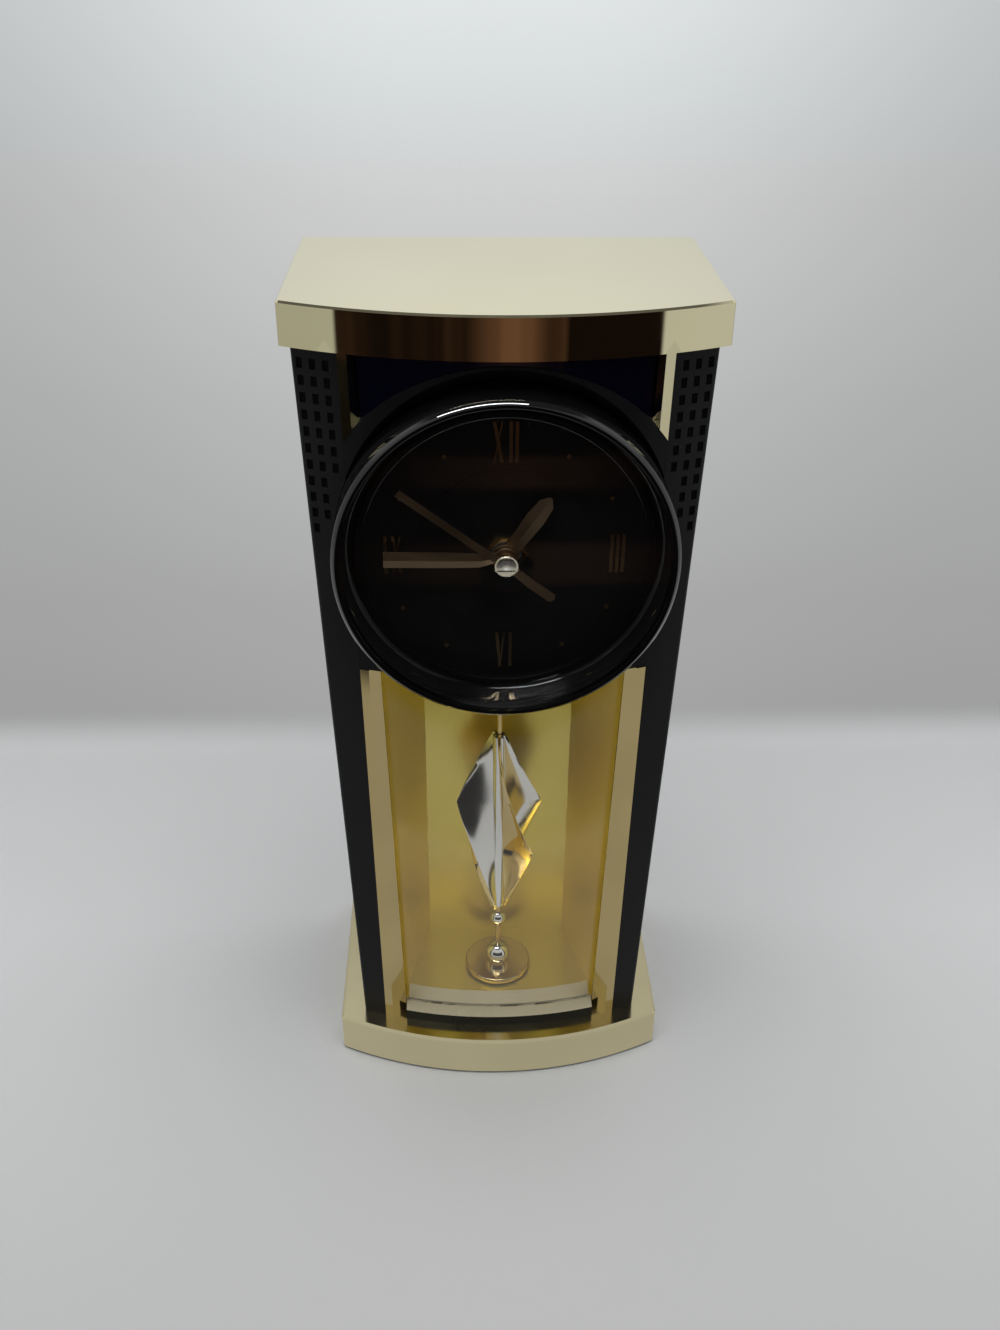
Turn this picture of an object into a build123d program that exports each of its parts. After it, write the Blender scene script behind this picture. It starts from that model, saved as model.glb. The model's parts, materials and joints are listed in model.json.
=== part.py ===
from build123d import *
import os
from math import cos, hypot, pi, radians, sin, sqrt

# Desk clock with a rotating pendulum. Millimetres; X to the right, Y to the back, Z up.
# The origin is on the table, at the middle of the clock's width and depth.

# ---------------------------------------------------------------- driving dimensions
overall_depth = 82.1
seam = 0.05

# cap
cap_width = 108.0
cap_thickness = 10.7
cap_bow = 12.6
cap_setback = 6.4
cap_wall = 2.0
cap_corner = 1.2
cap_edge = 0.5
spigot_drop = 4.0
spigot_wall = 2.0
spigot_clearance = 0.3

# plinth, its closing plate and the feet
base_width = 101.0
base_height = 14.0
base_bow = 12.0
base_setback = 2.2
base_wall = 2.0
base_corner = 1.5
base_edge = 0.8
base_plate_thickness = 2.0
plate_clearance = 0.2
foot_height = 0.8
foot_recess = 0.6
foot_radius = 6.0
foot_inset_x = 16.0
foot_inset_front = 20.0
foot_inset_back = 12.0

# body
body_height = 216.6
body_top_width = 103.0
body_base_width = 86.0
body_setback = 9.0
body_bow_radius = 122.0
body_back_inset = 2.6
pillar_depth = 22.05
pillar_edge = 1.2
housing_wall = 2.2
housing_back_wall = 3.0

# gold trim strips
trim_top_width = 80.2
trim_base_width = 72.4
trim_top_strip = 4.4
trim_base_strip = 6.6
trim_facet = 2.4
trim_proud = 0.4
trim_bevel_depth = 3.0
trim_back = 1.5
lower_trim_top = 143.5

# dimples on the pillars
dimple_width = 1.5
dimple_height = 2.6
dimple_depth = 0.9
dimple_edge_offset = 1.9
dimple_pitch_x = 3.25
dimple_pitch_z = 4.3
dimple_top_drop = 4.2
dimple_columns = 3
dimple_rows = 11
dimple_collar_margin = 1.6

# dial drum
dial_height = 180.1
drum_radius = 43.2
drum_setback = 0.8
drum_clearance = 0.15
drum_chamfer = 0.7
drum_wall = 2.8
drum_lip = 0.6
surround_radius = 48.5
surround_land = 0.7
surround_cone_depth = 7.0
cone_margin = 1.0
lens_thickness = 1.2
lens_rise = 1.6
lens_margin = 2.0
lens_seat_width = 0.6
lug_radius = 3.0
lug_hole_gap = 0.2
dial_depth = 9.6
dial_thickness = 1.0
dial_margin = 3.0
ring_radius = 36.2
ring_width = 1.7
ring_height = 1.4
centre_radius = 22.3
centre_height = 0.3
carrier_thickness = 2.5
carrier_depth = 21.45
carrier_window_clearance = 0.5
ceiling_thickness = 2.0

# panel above the drum
panel_recess = 0.5
panel_thickness = 2.5
panel_bevel_width = 2.2
panel_bevel_drop = 1.7
panel_post_radius = 2.5
panel_post_spread = 56.0
panel_post_drop = 5.0

# window and rail
rail_height = 3.5
rail_recess = 0.3
pane_setback = 4.7
pane_thickness = 1.5
pane_overlap = 2.5
pane_clearance = 0.3
sill_depth = 6.0
sill_side_gap = 0.9
sill_height = 1.2

# hands and markers
hour_hand_angle = 34.5
minute_hand_angle = 270.8
second_hand_angle = 307.0
hour_hand_length = 19.4
minute_hand_length = 30.5
second_hand_length = 33.0
second_tail_length = 15.0
hour_hand_width = 5.0
minute_hand_width = 4.2
second_hand_width = 1.9
second_tail_width = 2.4
hour_hand_lift = 1.9
minute_hand_lift = 3.7
second_hand_lift = 7.4
hand_thickness = 0.3
hand_ridge = 0.35
hour_collet = 3.5
minute_collet = 3.0
hub_tube_radius = 2.2
hub_tube_length = 2.4
hub_cap_radius = 3.0
hub_cap_height = 1.1
marker_height = 0.35
numeral_height = 10.4
numeral_stroke = 0.85
numeral_hairline = 0.4
numeral_pitch = 1.45
twelve_radius = 29.8
side_numeral_radius = 28.2
six_radius = 27.7
dot_radius = 30.2
dot_size = 1.5

# quartz movement
movement_size = 56.0
movement_depth = 15.0
case_split = 7.5
case_front_wall = 1.2
case_rear_wall = 1.6
bushing_radius = 4.0
bushing_lift = 1.5
nut_across_flats = 10.0
nut_height = 1.1
running_gap = 0.06
hour_pipe_radius = 2.5
minute_pipe_radius = 1.75
second_arbor_radius = 0.55
arbor_radius = 0.45
knob_shaft_radius = 1.25
knob_radius = 5.5
knob_height = 3.6
knob_flutes = 18
bearing_plate_thickness = 0.8
train_width = 50.0
train_height = 35.0
train_floor_drop = 10.3
wheel_thickness = 0.7
pinion_thickness = 1.0
layer_start = 1.6
layer_pitch = 1.2
motion_module = 0.25
second_module = 0.25
train_module = 0.2
cannon_teeth = 12
minute_wheel_teeth = 36
minute_pinion_teeth = 10
hour_wheel_teeth = 40
knob_teeth = 12
pinion_teeth = 8
third_wheel_teeth = 64
centre_wheel_teeth = 60
second_wheel_teeth = 40
step_wheel_teeth = 48
minute_wheel_bearing = -30.0
knob_bearing = -10.0
third_wheel_bearing = 150.0
step_wheel_bearing = 60.0
rotor_bearing = 80.0
post_radius = 0.5
seat_radius = 1.15
rotor_radius = 1.5
rotor_height = 1.6
stator_thickness = 0.7
stator_hole = 2.0
motor_coil_radius = 2.5
motor_coil_length = 16.0
motor_coil_rise = 18.5
circuit_width = 10.0
circuit_height = 26.0
circuit_thickness = 1.0
crystal_length = 6.5
crystal_width = 2.2
chip_width = 5.0
chip_thickness = 1.6
pivot_depth = 1.0
battery_radius = 7.15
battery_length = 49.5
battery_nub_radius = 2.7
battery_nub = 1.0
contact_thickness = 0.4
cell_clearance = 0.1
contact_size = 8.0
battery_drop = 19.4
battery_bay_clearance = 0.45

# chamber and rotating pendulum
axis_share = 6 / 11
vane_share = 0.358
floor_thickness = 2.5
reflector_thickness = 1.2
reflector_back_width = 45.0
reflector_front_gap = 0.74
reflector_rear_gap = 4.55
reflector_margin = 1.0
spindle_radius = 0.8
vane_core_radius = 2.0
vane_thickness = 1.3
vane_bottom = 42.0
vane_top = 109.0
silver_peak = 84.0
gold_peak = 70.0
vane_twist = -100.0
vane_steps = 8
bead_radius = 2.6
bead_height = 37.0
ball_radius = 4.0
foot_disc_radius = 10.5
foot_disc_thickness = 1.6
foot_disc_lift = 0.9
magnet_radius = 2.0
magnet_thickness = 1.2
magnet_circle = 7.5
pivot_cup_radius = 3.0
pivot_cup_lift = 0.5
upper_bearing_radius = 3.0
upper_bearing_height = 3.0
coil_outer_radius = 9.0
coil_inner_radius = 4.0
coil_height = 4.6
coil_opening_clearance = 1.0
board_thickness = 1.6
board_width = 30.0
board_length = 26.0
tray_wall = 1.2
tray_height = 9.0
tray_back_gap = 1.65

# back cover and screws
cover_width = 72.0
cover_bottom = 18.0
cover_top = 212.0
cover_clearance = 0.3
cover_pin_radius = 0.9
cover_pin_length = 2.0
finger_scoop_radius = 9.0
screw_radius = 1.25
screw_head_radius = 2.5
screw_head_height = 1.5
screw_length = 11.0
boss_height = 14.0
screw_hole_gap = 0.1
boss_radius = 3.6
base_screw_x = 38.6
base_screw_front_inset = 7.5
base_screw_back_inset = 21.95
base_screw_seat = 9.0
drum_screw_circle = 38.0
drum_screw_angle = 25.0

# ---------------------------------------------------------------- derived places
front_y = -overall_depth / 2
back_y = overall_depth / 2
body_base = base_height
body_top = body_base + body_height
cap_apex_y = front_y + cap_setback
cap_corner_y = cap_apex_y + cap_bow
base_apex_y = front_y + base_setback
base_corner_y = base_apex_y + base_bow
body_apex_y = front_y + body_setback
opening_top_width = trim_top_width - 2 * trim_top_strip
opening_base_width = trim_base_width - 2 * trim_base_strip
pillar_back_y = body_apex_y + pillar_depth
housing_back_y = back_y - body_back_inset
drum_front_y = front_y + drum_setback
dial_y = drum_front_y + dial_depth
dial_back_y = dial_y + dial_thickness
carrier_front_y = front_y + carrier_depth
carrier_back_y = carrier_front_y + carrier_thickness
rail_top = body_base + rail_height
floor_top = body_base + floor_thickness
ceiling_bottom = lower_trim_top - ceiling_thickness
drum_bore = drum_radius + drum_clearance
body_bow_span = body_top_width / 2 + 4.0
lens_radius = drum_radius - lens_margin
dial_radius = drum_radius - dial_margin
bay_half = (battery_length + battery_nub) / 2 + contact_thickness + cell_clearance
bay_height = 2 * (battery_radius + battery_bay_clearance)
tray_y = housing_back_y - housing_back_wall - tray_back_gap - tray_wall - bay_height / 2
reflector_back_y = tray_y - bay_height / 2 - tray_wall - reflector_rear_gap - reflector_thickness


def along(base_value, top_value, z):
    """A width that runs straight from the plinth to the cap."""
    return base_value + (top_value - base_value) * (z - body_base) / body_height


def body_half(z):
    return along(body_base_width, body_top_width, z) / 2


def trim_half(z):
    return along(trim_base_width, trim_top_width, z) / 2


def opening_half(z):
    return along(opening_base_width, opening_top_width, z) / 2


def bow_y(x, behind=0.0):
    """The bowed front of the body at x, or a surface parallel to it further in."""
    return body_apex_y + body_bow_radius - sqrt((body_bow_radius - behind) ** 2 - x * x)


pane_back = pane_setback + pane_thickness
pane_back_y = bow_y(0, pane_back)
pane_corner_y = bow_y(opening_half(lower_trim_top) + pane_overlap, pane_back)
reflector_front_y = pane_corner_y + reflector_front_gap
chamber_depth = reflector_back_y - pane_back_y
axis_y = pane_back_y + axis_share * chamber_depth
vane_radius = vane_share * chamber_depth


def facing(y, x=0.0, z=0.0):
    """A sketch plane that faces the front: X to the right, Z up, thickness towards the viewer."""
    return Plane(origin=(x, y, z), x_dir=(1, 0, 0), z_dir=(0, -1, 0))


def bowed_plan(half, corner_y, apex_y, end_y):
    """A plate seen from above, with a bowed front edge."""
    with BuildLine() as outline:
        ThreePointArc((-half, corner_y), (0, apex_y), (half, corner_y))
        Polyline((half, corner_y), (half, end_y), (-half, end_y), (-half, corner_y))
    return outline.edges()


def bowed_strip(half, near, far):
    """A strip between two surfaces parallel to the body's bow, seen from above."""
    with BuildLine() as outline:
        ThreePointArc((-half, bow_y(half, near)), (0, bow_y(0, near)), (half, bow_y(half, near)))
        Line((half, bow_y(half, near)), (half, bow_y(half, far)))
        ThreePointArc((half, bow_y(half, far)), (0, bow_y(0, far)), (-half, bow_y(half, far)))
        Line((-half, bow_y(half, far)), (-half, bow_y(half, near)))
    return outline.edges()


def tapered_front(outer, inner, low, high, side):
    """A tapering upright band of the front, between two straight edges."""
    with BuildLine() as outline:
        Polyline(
            (side * outer(low), low), (side * outer(high), high),
            (side * inner(high), high), (side * inner(low), low), close=True,
        )
    return outline.edges()


def dial_disc(radius, y, thickness, mode=Mode.ADD):
    """A disc on the dial's axis, from y towards the front."""
    with BuildSketch(facing(y, 0, dial_height)) as disc:
        Circle(radius)
    extrude(disc.sketch, amount=thickness, mode=mode)


# ---------------------------------------------------------------- cap
with BuildPart() as top_cap:
    with BuildSketch(Plane.XY.offset(body_top)):
        make_face(bowed_plan(cap_width / 2, cap_corner_y, cap_apex_y, back_y))
    extrude(amount=cap_thickness)
    fillet(top_cap.edges().filter_by(Axis.Z), radius=cap_corner)
    chamfer(top_cap.faces().sort_by(Axis.Z)[-1].edges(), length=cap_edge)
    with BuildSketch(Plane.XY.offset(body_top)):
        make_face(bowed_plan(
            cap_width / 2 - cap_wall, cap_corner_y + cap_wall, cap_apex_y + cap_wall, back_y - cap_wall,
        ))
    extrude(amount=cap_thickness - cap_wall, mode=Mode.SUBTRACT)
    spigot_half = body_half(body_top - spigot_drop) - housing_wall - spigot_clearance
    spigot_front = pillar_back_y + spigot_clearance
    spigot_back = housing_back_y - housing_back_wall - spigot_clearance
    with BuildSketch(Plane.XY.offset(body_top - spigot_drop)):
        with Locations((0, (spigot_front + spigot_back) / 2)):
            Rectangle(2 * spigot_half, spigot_back - spigot_front)
            Rectangle(
                2 * (spigot_half - spigot_wall), spigot_back - spigot_front - 2 * spigot_wall,
                mode=Mode.SUBTRACT,
            )
    extrude(amount=spigot_drop + cap_thickness - cap_wall)

# ---------------------------------------------------------------- plinth, closing plate and feet
base_screw_front_y = pillar_back_y + base_screw_front_inset
base_screw_back_y = housing_back_y - base_screw_back_inset
base_screw_points = [
    (side * base_screw_x, y) for side in (-1, 1) for y in (base_screw_front_y, base_screw_back_y)
]
foot_points = [
    (side * (base_width / 2 - foot_inset_x), y)
    for side in (-1, 1) for y in (base_corner_y + foot_inset_front / 2, back_y - foot_inset_back)
]
base_plate_top = foot_height + base_plate_thickness
coil_opening = coil_outer_radius + coil_opening_clearance

with BuildPart() as base_plinth:
    with BuildSketch(Plane.XY.offset(foot_height)):
        make_face(bowed_plan(base_width / 2, base_corner_y, base_apex_y, back_y))
    extrude(amount=base_height - foot_height)
    fillet(base_plinth.edges().filter_by(Axis.Z), radius=base_corner)
    chamfer(base_plinth.faces().sort_by(Axis.Z)[-1].edges(), length=base_edge)
    with BuildSketch(Plane.XY.offset(foot_height)):
        make_face(bowed_plan(
            base_width / 2 - base_wall, base_corner_y + base_wall, base_apex_y + base_wall,
            back_y - base_wall,
        ))
    extrude(amount=base_height - base_wall - foot_height, mode=Mode.SUBTRACT)
    with BuildSketch(Plane.XY.offset(base_plate_top)):
        with Locations(*base_screw_points):
            Circle(boss_radius)
    extrude(amount=base_height - base_wall - base_plate_top)
    with BuildSketch(Plane.XY.offset(base_plate_top)):
        with Locations(*base_screw_points):
            Circle(screw_radius + screw_hole_gap)
        with Locations((0, axis_y)):
            Circle(coil_opening)
    extrude(amount=base_height, mode=Mode.SUBTRACT)
    with BuildSketch(Plane.XY.offset(base_plate_top)):
        with Locations(*base_screw_points):
            Circle(screw_head_radius + screw_hole_gap)
    extrude(amount=base_screw_seat - base_plate_top, mode=Mode.SUBTRACT)

with BuildPart() as base_plate:
    with BuildSketch(Plane.XY.offset(foot_height)):
        inset = base_wall + plate_clearance
        make_face(bowed_plan(
            base_width / 2 - inset, base_corner_y + inset, base_apex_y + inset, back_y - inset,
        ))
    extrude(amount=base_plate_thickness)
    with BuildSketch(Plane.XY.offset(foot_height)):
        with Locations(*foot_points):
            Circle(foot_radius + seam)
    extrude(amount=foot_recess, mode=Mode.SUBTRACT)
    with BuildSketch(Plane.XY.offset(foot_height)):
        with Locations(*base_screw_points):
            Circle(screw_head_radius + screw_hole_gap)
    extrude(amount=base_plate_thickness, mode=Mode.SUBTRACT)
    board_stand = base_height - coil_height - board_thickness - 0.6
    with BuildSketch(Plane.XY.offset(base_plate_top)):
        with Locations((0, axis_y)):
            with GridLocations(board_width - 6, board_length - 6, 2, 2):
                Circle(2.0)
    extrude(amount=board_stand - base_plate_top)

with BuildPart() as rubber_feet:
    with BuildSketch():
        with Locations(*foot_points):
            Circle(foot_radius)
    extrude(amount=foot_height + foot_recess)


# ---------------------------------------------------------------- pillars of the front frame
def dimple_points(side):
    """Middles of the recesses: rows below the cap, kept off the collar round the drum."""
    points = []
    for row in range(dimple_rows):
        z = body_top - dimple_top_drop - row * dimple_pitch_z
        for column in range(dimple_columns):
            x = body_half(z) - dimple_edge_offset - column * dimple_pitch_x
            if hypot(x, z - dial_height) > drum_bore + dimple_collar_margin:
                points.append((side * x, bow_y(x) + dimple_depth, z))
    return points


def build_pillar(side):
    with BuildPart() as pillar:
        with BuildSketch(facing(pillar_back_y)):
            make_face(tapered_front(
                body_half, lambda z: trim_half(z) + seam, body_base, body_top, side,
            ))
        extrude(amount=pillar_back_y - front_y)
        with BuildSketch(Plane.XY.offset(body_base)):
            make_face(bowed_plan(body_bow_span, bow_y(body_bow_span), body_apex_y, housing_back_y))
        extrude(amount=body_height, mode=Mode.INTERSECT)
        outer = pillar.faces().sort_by(Axis.Y)[0].edges().sort_by(Axis.X)
        fillet(outer[-1] if side > 0 else outer[0], radius=pillar_edge)
        dial_disc(drum_bore, pillar_back_y, pillar_back_y - front_y, mode=Mode.SUBTRACT)
        with Locations(*dimple_points(side)):
            Box(
                dimple_width, 4 * dimple_depth, dimple_height,
                align=(Align.CENTER, Align.MAX, Align.CENTER), mode=Mode.SUBTRACT,
            )
    return pillar


left_pillar = build_pillar(-1)
right_pillar = build_pillar(1)


# ---------------------------------------------------------------- gold trim strips
def trim_section(side, z):
    """Facet, inward bevel and back of a strip, seen from above."""
    outer = trim_half(z)
    inner = opening_half(z)
    ridge = outer - trim_facet
    back = bow_y(inner) + trim_bevel_depth + trim_back
    with BuildLine() as outline:
        Polyline(
            (side * outer, bow_y(outer) - trim_proud), (side * ridge, bow_y(ridge) - trim_proud),
            (side * inner, bow_y(inner) + trim_bevel_depth), (side * inner, back),
            (side * outer, back), close=True,
        )
    return outline.edges()


def build_trim(side, low, high, round_drum):
    with BuildPart() as strip:
        for z in (low, high):
            with BuildSketch(Plane.XY.offset(z)):
                make_face(trim_section(side, z))
        loft(ruled=True)
        if round_drum:
            dial_disc(surround_radius + seam, carrier_front_y, overall_depth, mode=Mode.SUBTRACT)
    return strip


upper_left_trim = build_trim(-1, dial_height, body_top - seam, True)
upper_right_trim = build_trim(1, dial_height, body_top - seam, True)
lower_left_trim = build_trim(-1, body_base, lower_trim_top - seam, False)
lower_right_trim = build_trim(1, body_base, lower_trim_top - seam, False)

# ---------------------------------------------------------------- frame that carries the drum, navy panel
drum_screw_points = [
    (side * drum_screw_circle * cos(radians(drum_screw_angle)),
     dial_height + rise * drum_screw_circle * sin(radians(drum_screw_angle)))
    for side in (-1, 1) for rise in (-1, 1)
]

with BuildPart() as drum_surround:
    with BuildSketch(facing(carrier_front_y)):
        with Locations((0, dial_height)):
            Circle(surround_radius)
        make_face(
            tapered_front(trim_half, lambda z: -trim_half(z), lower_trim_top, dial_height, 1),
        )
        make_face(
            tapered_front(trim_half, lambda z: -trim_half(z), lower_trim_top, body_top, 1),
            mode=Mode.INTERSECT,
        )
    extrude(amount=carrier_front_y - front_y)
    with BuildSketch(Plane.XY.offset(body_base)):
        make_face(bowed_plan(body_bow_span, bow_y(body_bow_span), body_apex_y, housing_back_y))
    extrude(amount=body_height, mode=Mode.INTERSECT)
    dial_disc(drum_bore, carrier_front_y, overall_depth, mode=Mode.SUBTRACT)
    cone_width = surround_radius - surround_land - drum_bore
    cone_slope = surround_cone_depth / cone_width
    for reach in (-cone_margin, cone_width + cone_margin):
        cone_y = body_apex_y + surround_cone_depth - cone_slope * reach
        with BuildSketch(facing(cone_y, 0, dial_height)):
            Circle(drum_bore + reach)
    loft(mode=Mode.SUBTRACT)
    with BuildSketch(facing(carrier_back_y)):
        make_face(
            tapered_front(trim_half, lambda z: -trim_half(z), lower_trim_top, body_top - seam, 1),
        )
        with Locations((0, dial_height)):
            Rectangle(
                movement_size + carrier_window_clearance, movement_size + carrier_window_clearance,
                mode=Mode.SUBTRACT,
            )
        with Locations(*drum_screw_points):
            Circle(screw_radius + screw_hole_gap, mode=Mode.SUBTRACT)
    extrude(amount=carrier_thickness)
    ceiling_half = opening_half(ceiling_bottom) + reflector_margin + reflector_thickness
    with BuildSketch(Plane.XY.offset(ceiling_bottom)):
        with Locations((0, (carrier_front_y + reflector_back_y) / 2 + reflector_thickness)):
            Rectangle(2 * ceiling_half, reflector_back_y - carrier_front_y + 2 * reflector_thickness)
        with Locations((0, axis_y)):
            Circle(upper_bearing_radius + seam, mode=Mode.SUBTRACT)
    extrude(amount=ceiling_thickness)


def panel_section(z):
    """The navy panel seen from above: bowed face, bevelled sides, even thickness."""
    half = opening_half(z) - seam
    flat = half - panel_bevel_width
    near = panel_recess
    far = panel_recess + panel_thickness
    edge_y = bow_y(half, near) + panel_bevel_drop
    with BuildLine() as outline:
        ThreePointArc((-flat, bow_y(flat, near)), (0, bow_y(0, near)), (flat, bow_y(flat, near)))
        Polyline((flat, bow_y(flat, near)), (half, edge_y), (half, bow_y(half, far)))
        ThreePointArc((half, bow_y(half, far)), (0, bow_y(0, far)), (-half, bow_y(half, far)))
        Polyline((-half, bow_y(half, far)), (-half, edge_y), (-flat, bow_y(flat, near)))
    return outline.edges()


with BuildPart() as upper_panel:
    for z in (dial_height, body_top - seam):
        with BuildSketch(Plane.XY.offset(z)):
            make_face(panel_section(z))
    loft(ruled=True)
    dial_disc(surround_radius + seam, carrier_front_y, overall_depth, mode=Mode.SUBTRACT)
    with BuildSketch(facing(carrier_front_y, 0, body_top - panel_post_drop)):
        with GridLocations(panel_post_spread, 1, 2, 1):
            Circle(panel_post_radius)
    extrude(amount=carrier_front_y - bow_y(panel_post_spread / 2, panel_recess + panel_thickness / 2))

# ---------------------------------------------------------------- rear housing
cover_mid = (cover_bottom + cover_top) / 2
cover_pin_z = cover_bottom + cover_clearance + housing_back_wall / 2
cover_pin_y = housing_back_y - housing_back_wall / 2

with BuildPart() as rear_housing:
    with BuildSketch(facing(housing_back_y)):
        make_face(tapered_front(body_half, lambda z: -body_half(z), body_base, body_top, 1))
    extrude(amount=housing_back_y - pillar_back_y)
    with BuildSketch(facing(housing_back_y - housing_back_wall)):
        make_face(tapered_front(
            lambda z: body_half(z) - housing_wall, lambda z: housing_wall - body_half(z),
            body_base, body_top, 1,
        ))
    extrude(amount=overall_depth, mode=Mode.SUBTRACT)
    with BuildSketch(facing(housing_back_y, 0, cover_mid)):
        RectangleRounded(cover_width, cover_top - cover_bottom, 1.0)
    extrude(amount=housing_back_wall, mode=Mode.SUBTRACT)
    with Locations(Location((0, cover_pin_y, cover_pin_z), (0, 90, 0))):
        Cylinder(
            cover_pin_radius + running_gap, cover_width + 2 * cover_pin_length + 2 * seam,
            mode=Mode.SUBTRACT,
        )
    with BuildSketch(Plane.XY.offset(body_base)):
        with Locations(*base_screw_points):
            Circle(boss_radius)
    extrude(amount=boss_height)
    with BuildSketch(Plane.XY.offset(body_base)):
        with Locations(*base_screw_points):
            Circle(screw_radius)
    extrude(amount=boss_height - base_wall, mode=Mode.SUBTRACT)

# ---------------------------------------------------------------- back cover
with BuildPart() as back_cover:
    with BuildSketch(facing(housing_back_y, 0, cover_mid)):
        Rectangle(cover_width - 2 * cover_clearance, cover_top - cover_bottom - 2 * cover_clearance)
    extrude(amount=housing_back_wall)
    bottom_edges = back_cover.faces().sort_by(Axis.Z)[0].edges().filter_by(Axis.X)
    fillet(bottom_edges, radius=housing_back_wall / 2 - 0.01)
    with Locations(Location((0, cover_pin_y, cover_pin_z), (0, 90, 0))):
        Cylinder(cover_pin_radius, cover_width + 2 * cover_pin_length - 2 * seam)
    with BuildSketch(facing(housing_back_y, 0, cover_top)):
        Circle(finger_scoop_radius)
    extrude(amount=housing_back_wall / 2, mode=Mode.SUBTRACT)

# ---------------------------------------------------------------- window, rail and sill
with BuildPart() as bottom_rail:
    with BuildSketch(Plane.XY.offset(body_base)):
        make_face(bowed_strip(opening_half(body_base) - seam, rail_recess, pane_back))
    extrude(amount=rail_height)

with BuildPart() as window_pane:
    for z in (rail_top, lower_trim_top - seam):
        with BuildSketch(Plane.XY.offset(z)):
            make_face(bowed_strip(opening_half(z) + pane_overlap, pane_setback, pane_back))
    loft(ruled=True)
    dial_disc(drum_radius + pane_clearance, carrier_front_y, overall_depth, mode=Mode.SUBTRACT)

with BuildPart() as window_sill:
    with BuildSketch(Plane.XY.offset(floor_top)):
        sill_half = opening_half(floor_top) - sill_side_gap
        make_face(bowed_strip(sill_half, pane_back + pane_clearance, pane_back + sill_depth))
    extrude(amount=sill_height)

# ---------------------------------------------------------------- drum, lens and dial
lens_rim_y = front_y + lens_rise
lens_seat_y = lens_rim_y + lens_thickness
ring_outer = ring_radius + ring_width
dial_axis = Axis((0, 0, dial_height), (0, 1, 0))
dial_section = Plane.XY.offset(dial_height)

with BuildPart() as dial_drum:
    with BuildSketch(dial_section):
        with BuildLine():
            Polyline(
                (drum_radius - drum_chamfer, drum_front_y), (drum_radius, drum_front_y + drum_chamfer),
                (drum_radius, carrier_front_y), (drum_radius - drum_wall, carrier_front_y),
                (drum_radius - drum_wall, dial_y), (ring_outer + drum_clearance, dial_y),
                (ring_outer + drum_clearance, dial_y - ring_height),
                (lens_radius - lens_seat_width, lens_seat_y), (lens_radius + seam, lens_seat_y),
                (lens_radius + seam, lens_rim_y), (lens_radius + drum_lip, drum_front_y), close=True,
            )
        make_face()
    revolve(axis=dial_axis)
    with BuildSketch(facing(carrier_front_y)):
        with Locations(*drum_screw_points):
            Circle(lug_radius)
    extrude(amount=carrier_front_y - dial_back_y - seam)
    with BuildSketch(facing(carrier_front_y)):
        with Locations(*drum_screw_points):
            Circle(screw_radius)
    extrude(amount=screw_length - carrier_thickness + lug_hole_gap, mode=Mode.SUBTRACT)

with BuildPart() as dial_lens:
    with BuildSketch(dial_section):
        with BuildLine():
            curve_radius = (lens_radius ** 2 + lens_rise ** 2) / (2 * lens_rise)
            RadiusArc((lens_radius, lens_rim_y), (0, front_y), curve_radius)
            Polyline((0, front_y), (0, front_y + lens_thickness))
            RadiusArc((0, front_y + lens_thickness), (lens_radius, lens_seat_y), -curve_radius)
            Polyline((lens_radius, lens_seat_y), (lens_radius, lens_rim_y))
        make_face()
    revolve(axis=dial_axis)

with BuildPart() as inner_ring:
    with BuildSketch(facing(dial_y, 0, dial_height)):
        Circle(ring_outer)
        Circle(ring_radius, mode=Mode.SUBTRACT)
    extrude(amount=ring_height)
    inner_edges = inner_ring.faces().sort_by(Axis.Y)[0].edges().sort_by(SortBy.RADIUS)[0]
    chamfer(inner_edges, length=ring_width / 3)

with BuildPart() as dial_plate:
    with BuildSketch(facing(dial_back_y, 0, dial_height)):
        Circle(dial_radius)
        Circle(bushing_radius + running_gap, mode=Mode.SUBTRACT)
    extrude(amount=dial_thickness)

with BuildPart() as dial_centre:
    with BuildSketch(facing(dial_y, 0, dial_height)):
        Circle(centre_radius)
        Circle(bushing_radius + running_gap, mode=Mode.SUBTRACT)
    extrude(amount=centre_height)


# ---------------------------------------------------------------- hour markers
def stroke(top_x, bottom_x, x, z, width):
    """An upright or slanting stroke of a roman numeral, as tall as the numeral."""
    top = numeral_height / 2
    with BuildLine() as outline:
        Polyline(
            (x + top_x - width / 2, z + top), (x + top_x + width / 2, z + top),
            (x + bottom_x + width / 2, z - top), (x + bottom_x - width / 2, z - top), close=True,
        )
    return outline.edges()


letter_half = 0.95
numerals = (
    ((0, twelve_radius), (("X", -2.05), ("I", 1.05), ("I", 1.05 + numeral_pitch))),
    ((side_numeral_radius, 0), (("I", -numeral_pitch), ("I", 0), ("I", numeral_pitch))),
    ((0, -six_radius), (("V", -1.1), ("I", 1.5))),
    ((-side_numeral_radius, 0), (("I", -1.9), ("X", 0.9))),
)

with BuildPart() as hour_markers:
    with BuildSketch(facing(dial_y, 0, dial_height)):
        for (x, z), letters in numerals:
            for letter, shift in letters:
                if letter == "I":
                    make_face(stroke(0, 0, x + shift, z, numeral_stroke))
                if letter == "X":
                    make_face(stroke(-letter_half, letter_half, x + shift, z, numeral_stroke))
                    make_face(stroke(letter_half, -letter_half, x + shift, z, numeral_hairline))
                if letter == "V":
                    make_face(stroke(-letter_half, 0, x + shift, z, numeral_stroke))
                    make_face(stroke(letter_half, 0, x + shift, z, numeral_hairline))
        dots = [hour for hour in range(12) if hour % 3]
        for hour in dots:
            turn = radians(30 * hour)
            with Locations(Location((dot_radius * sin(turn), dot_radius * cos(turn)), 45)):
                Rectangle(dot_size / sqrt(2), dot_size / sqrt(2))
    extrude(amount=marker_height)


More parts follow.
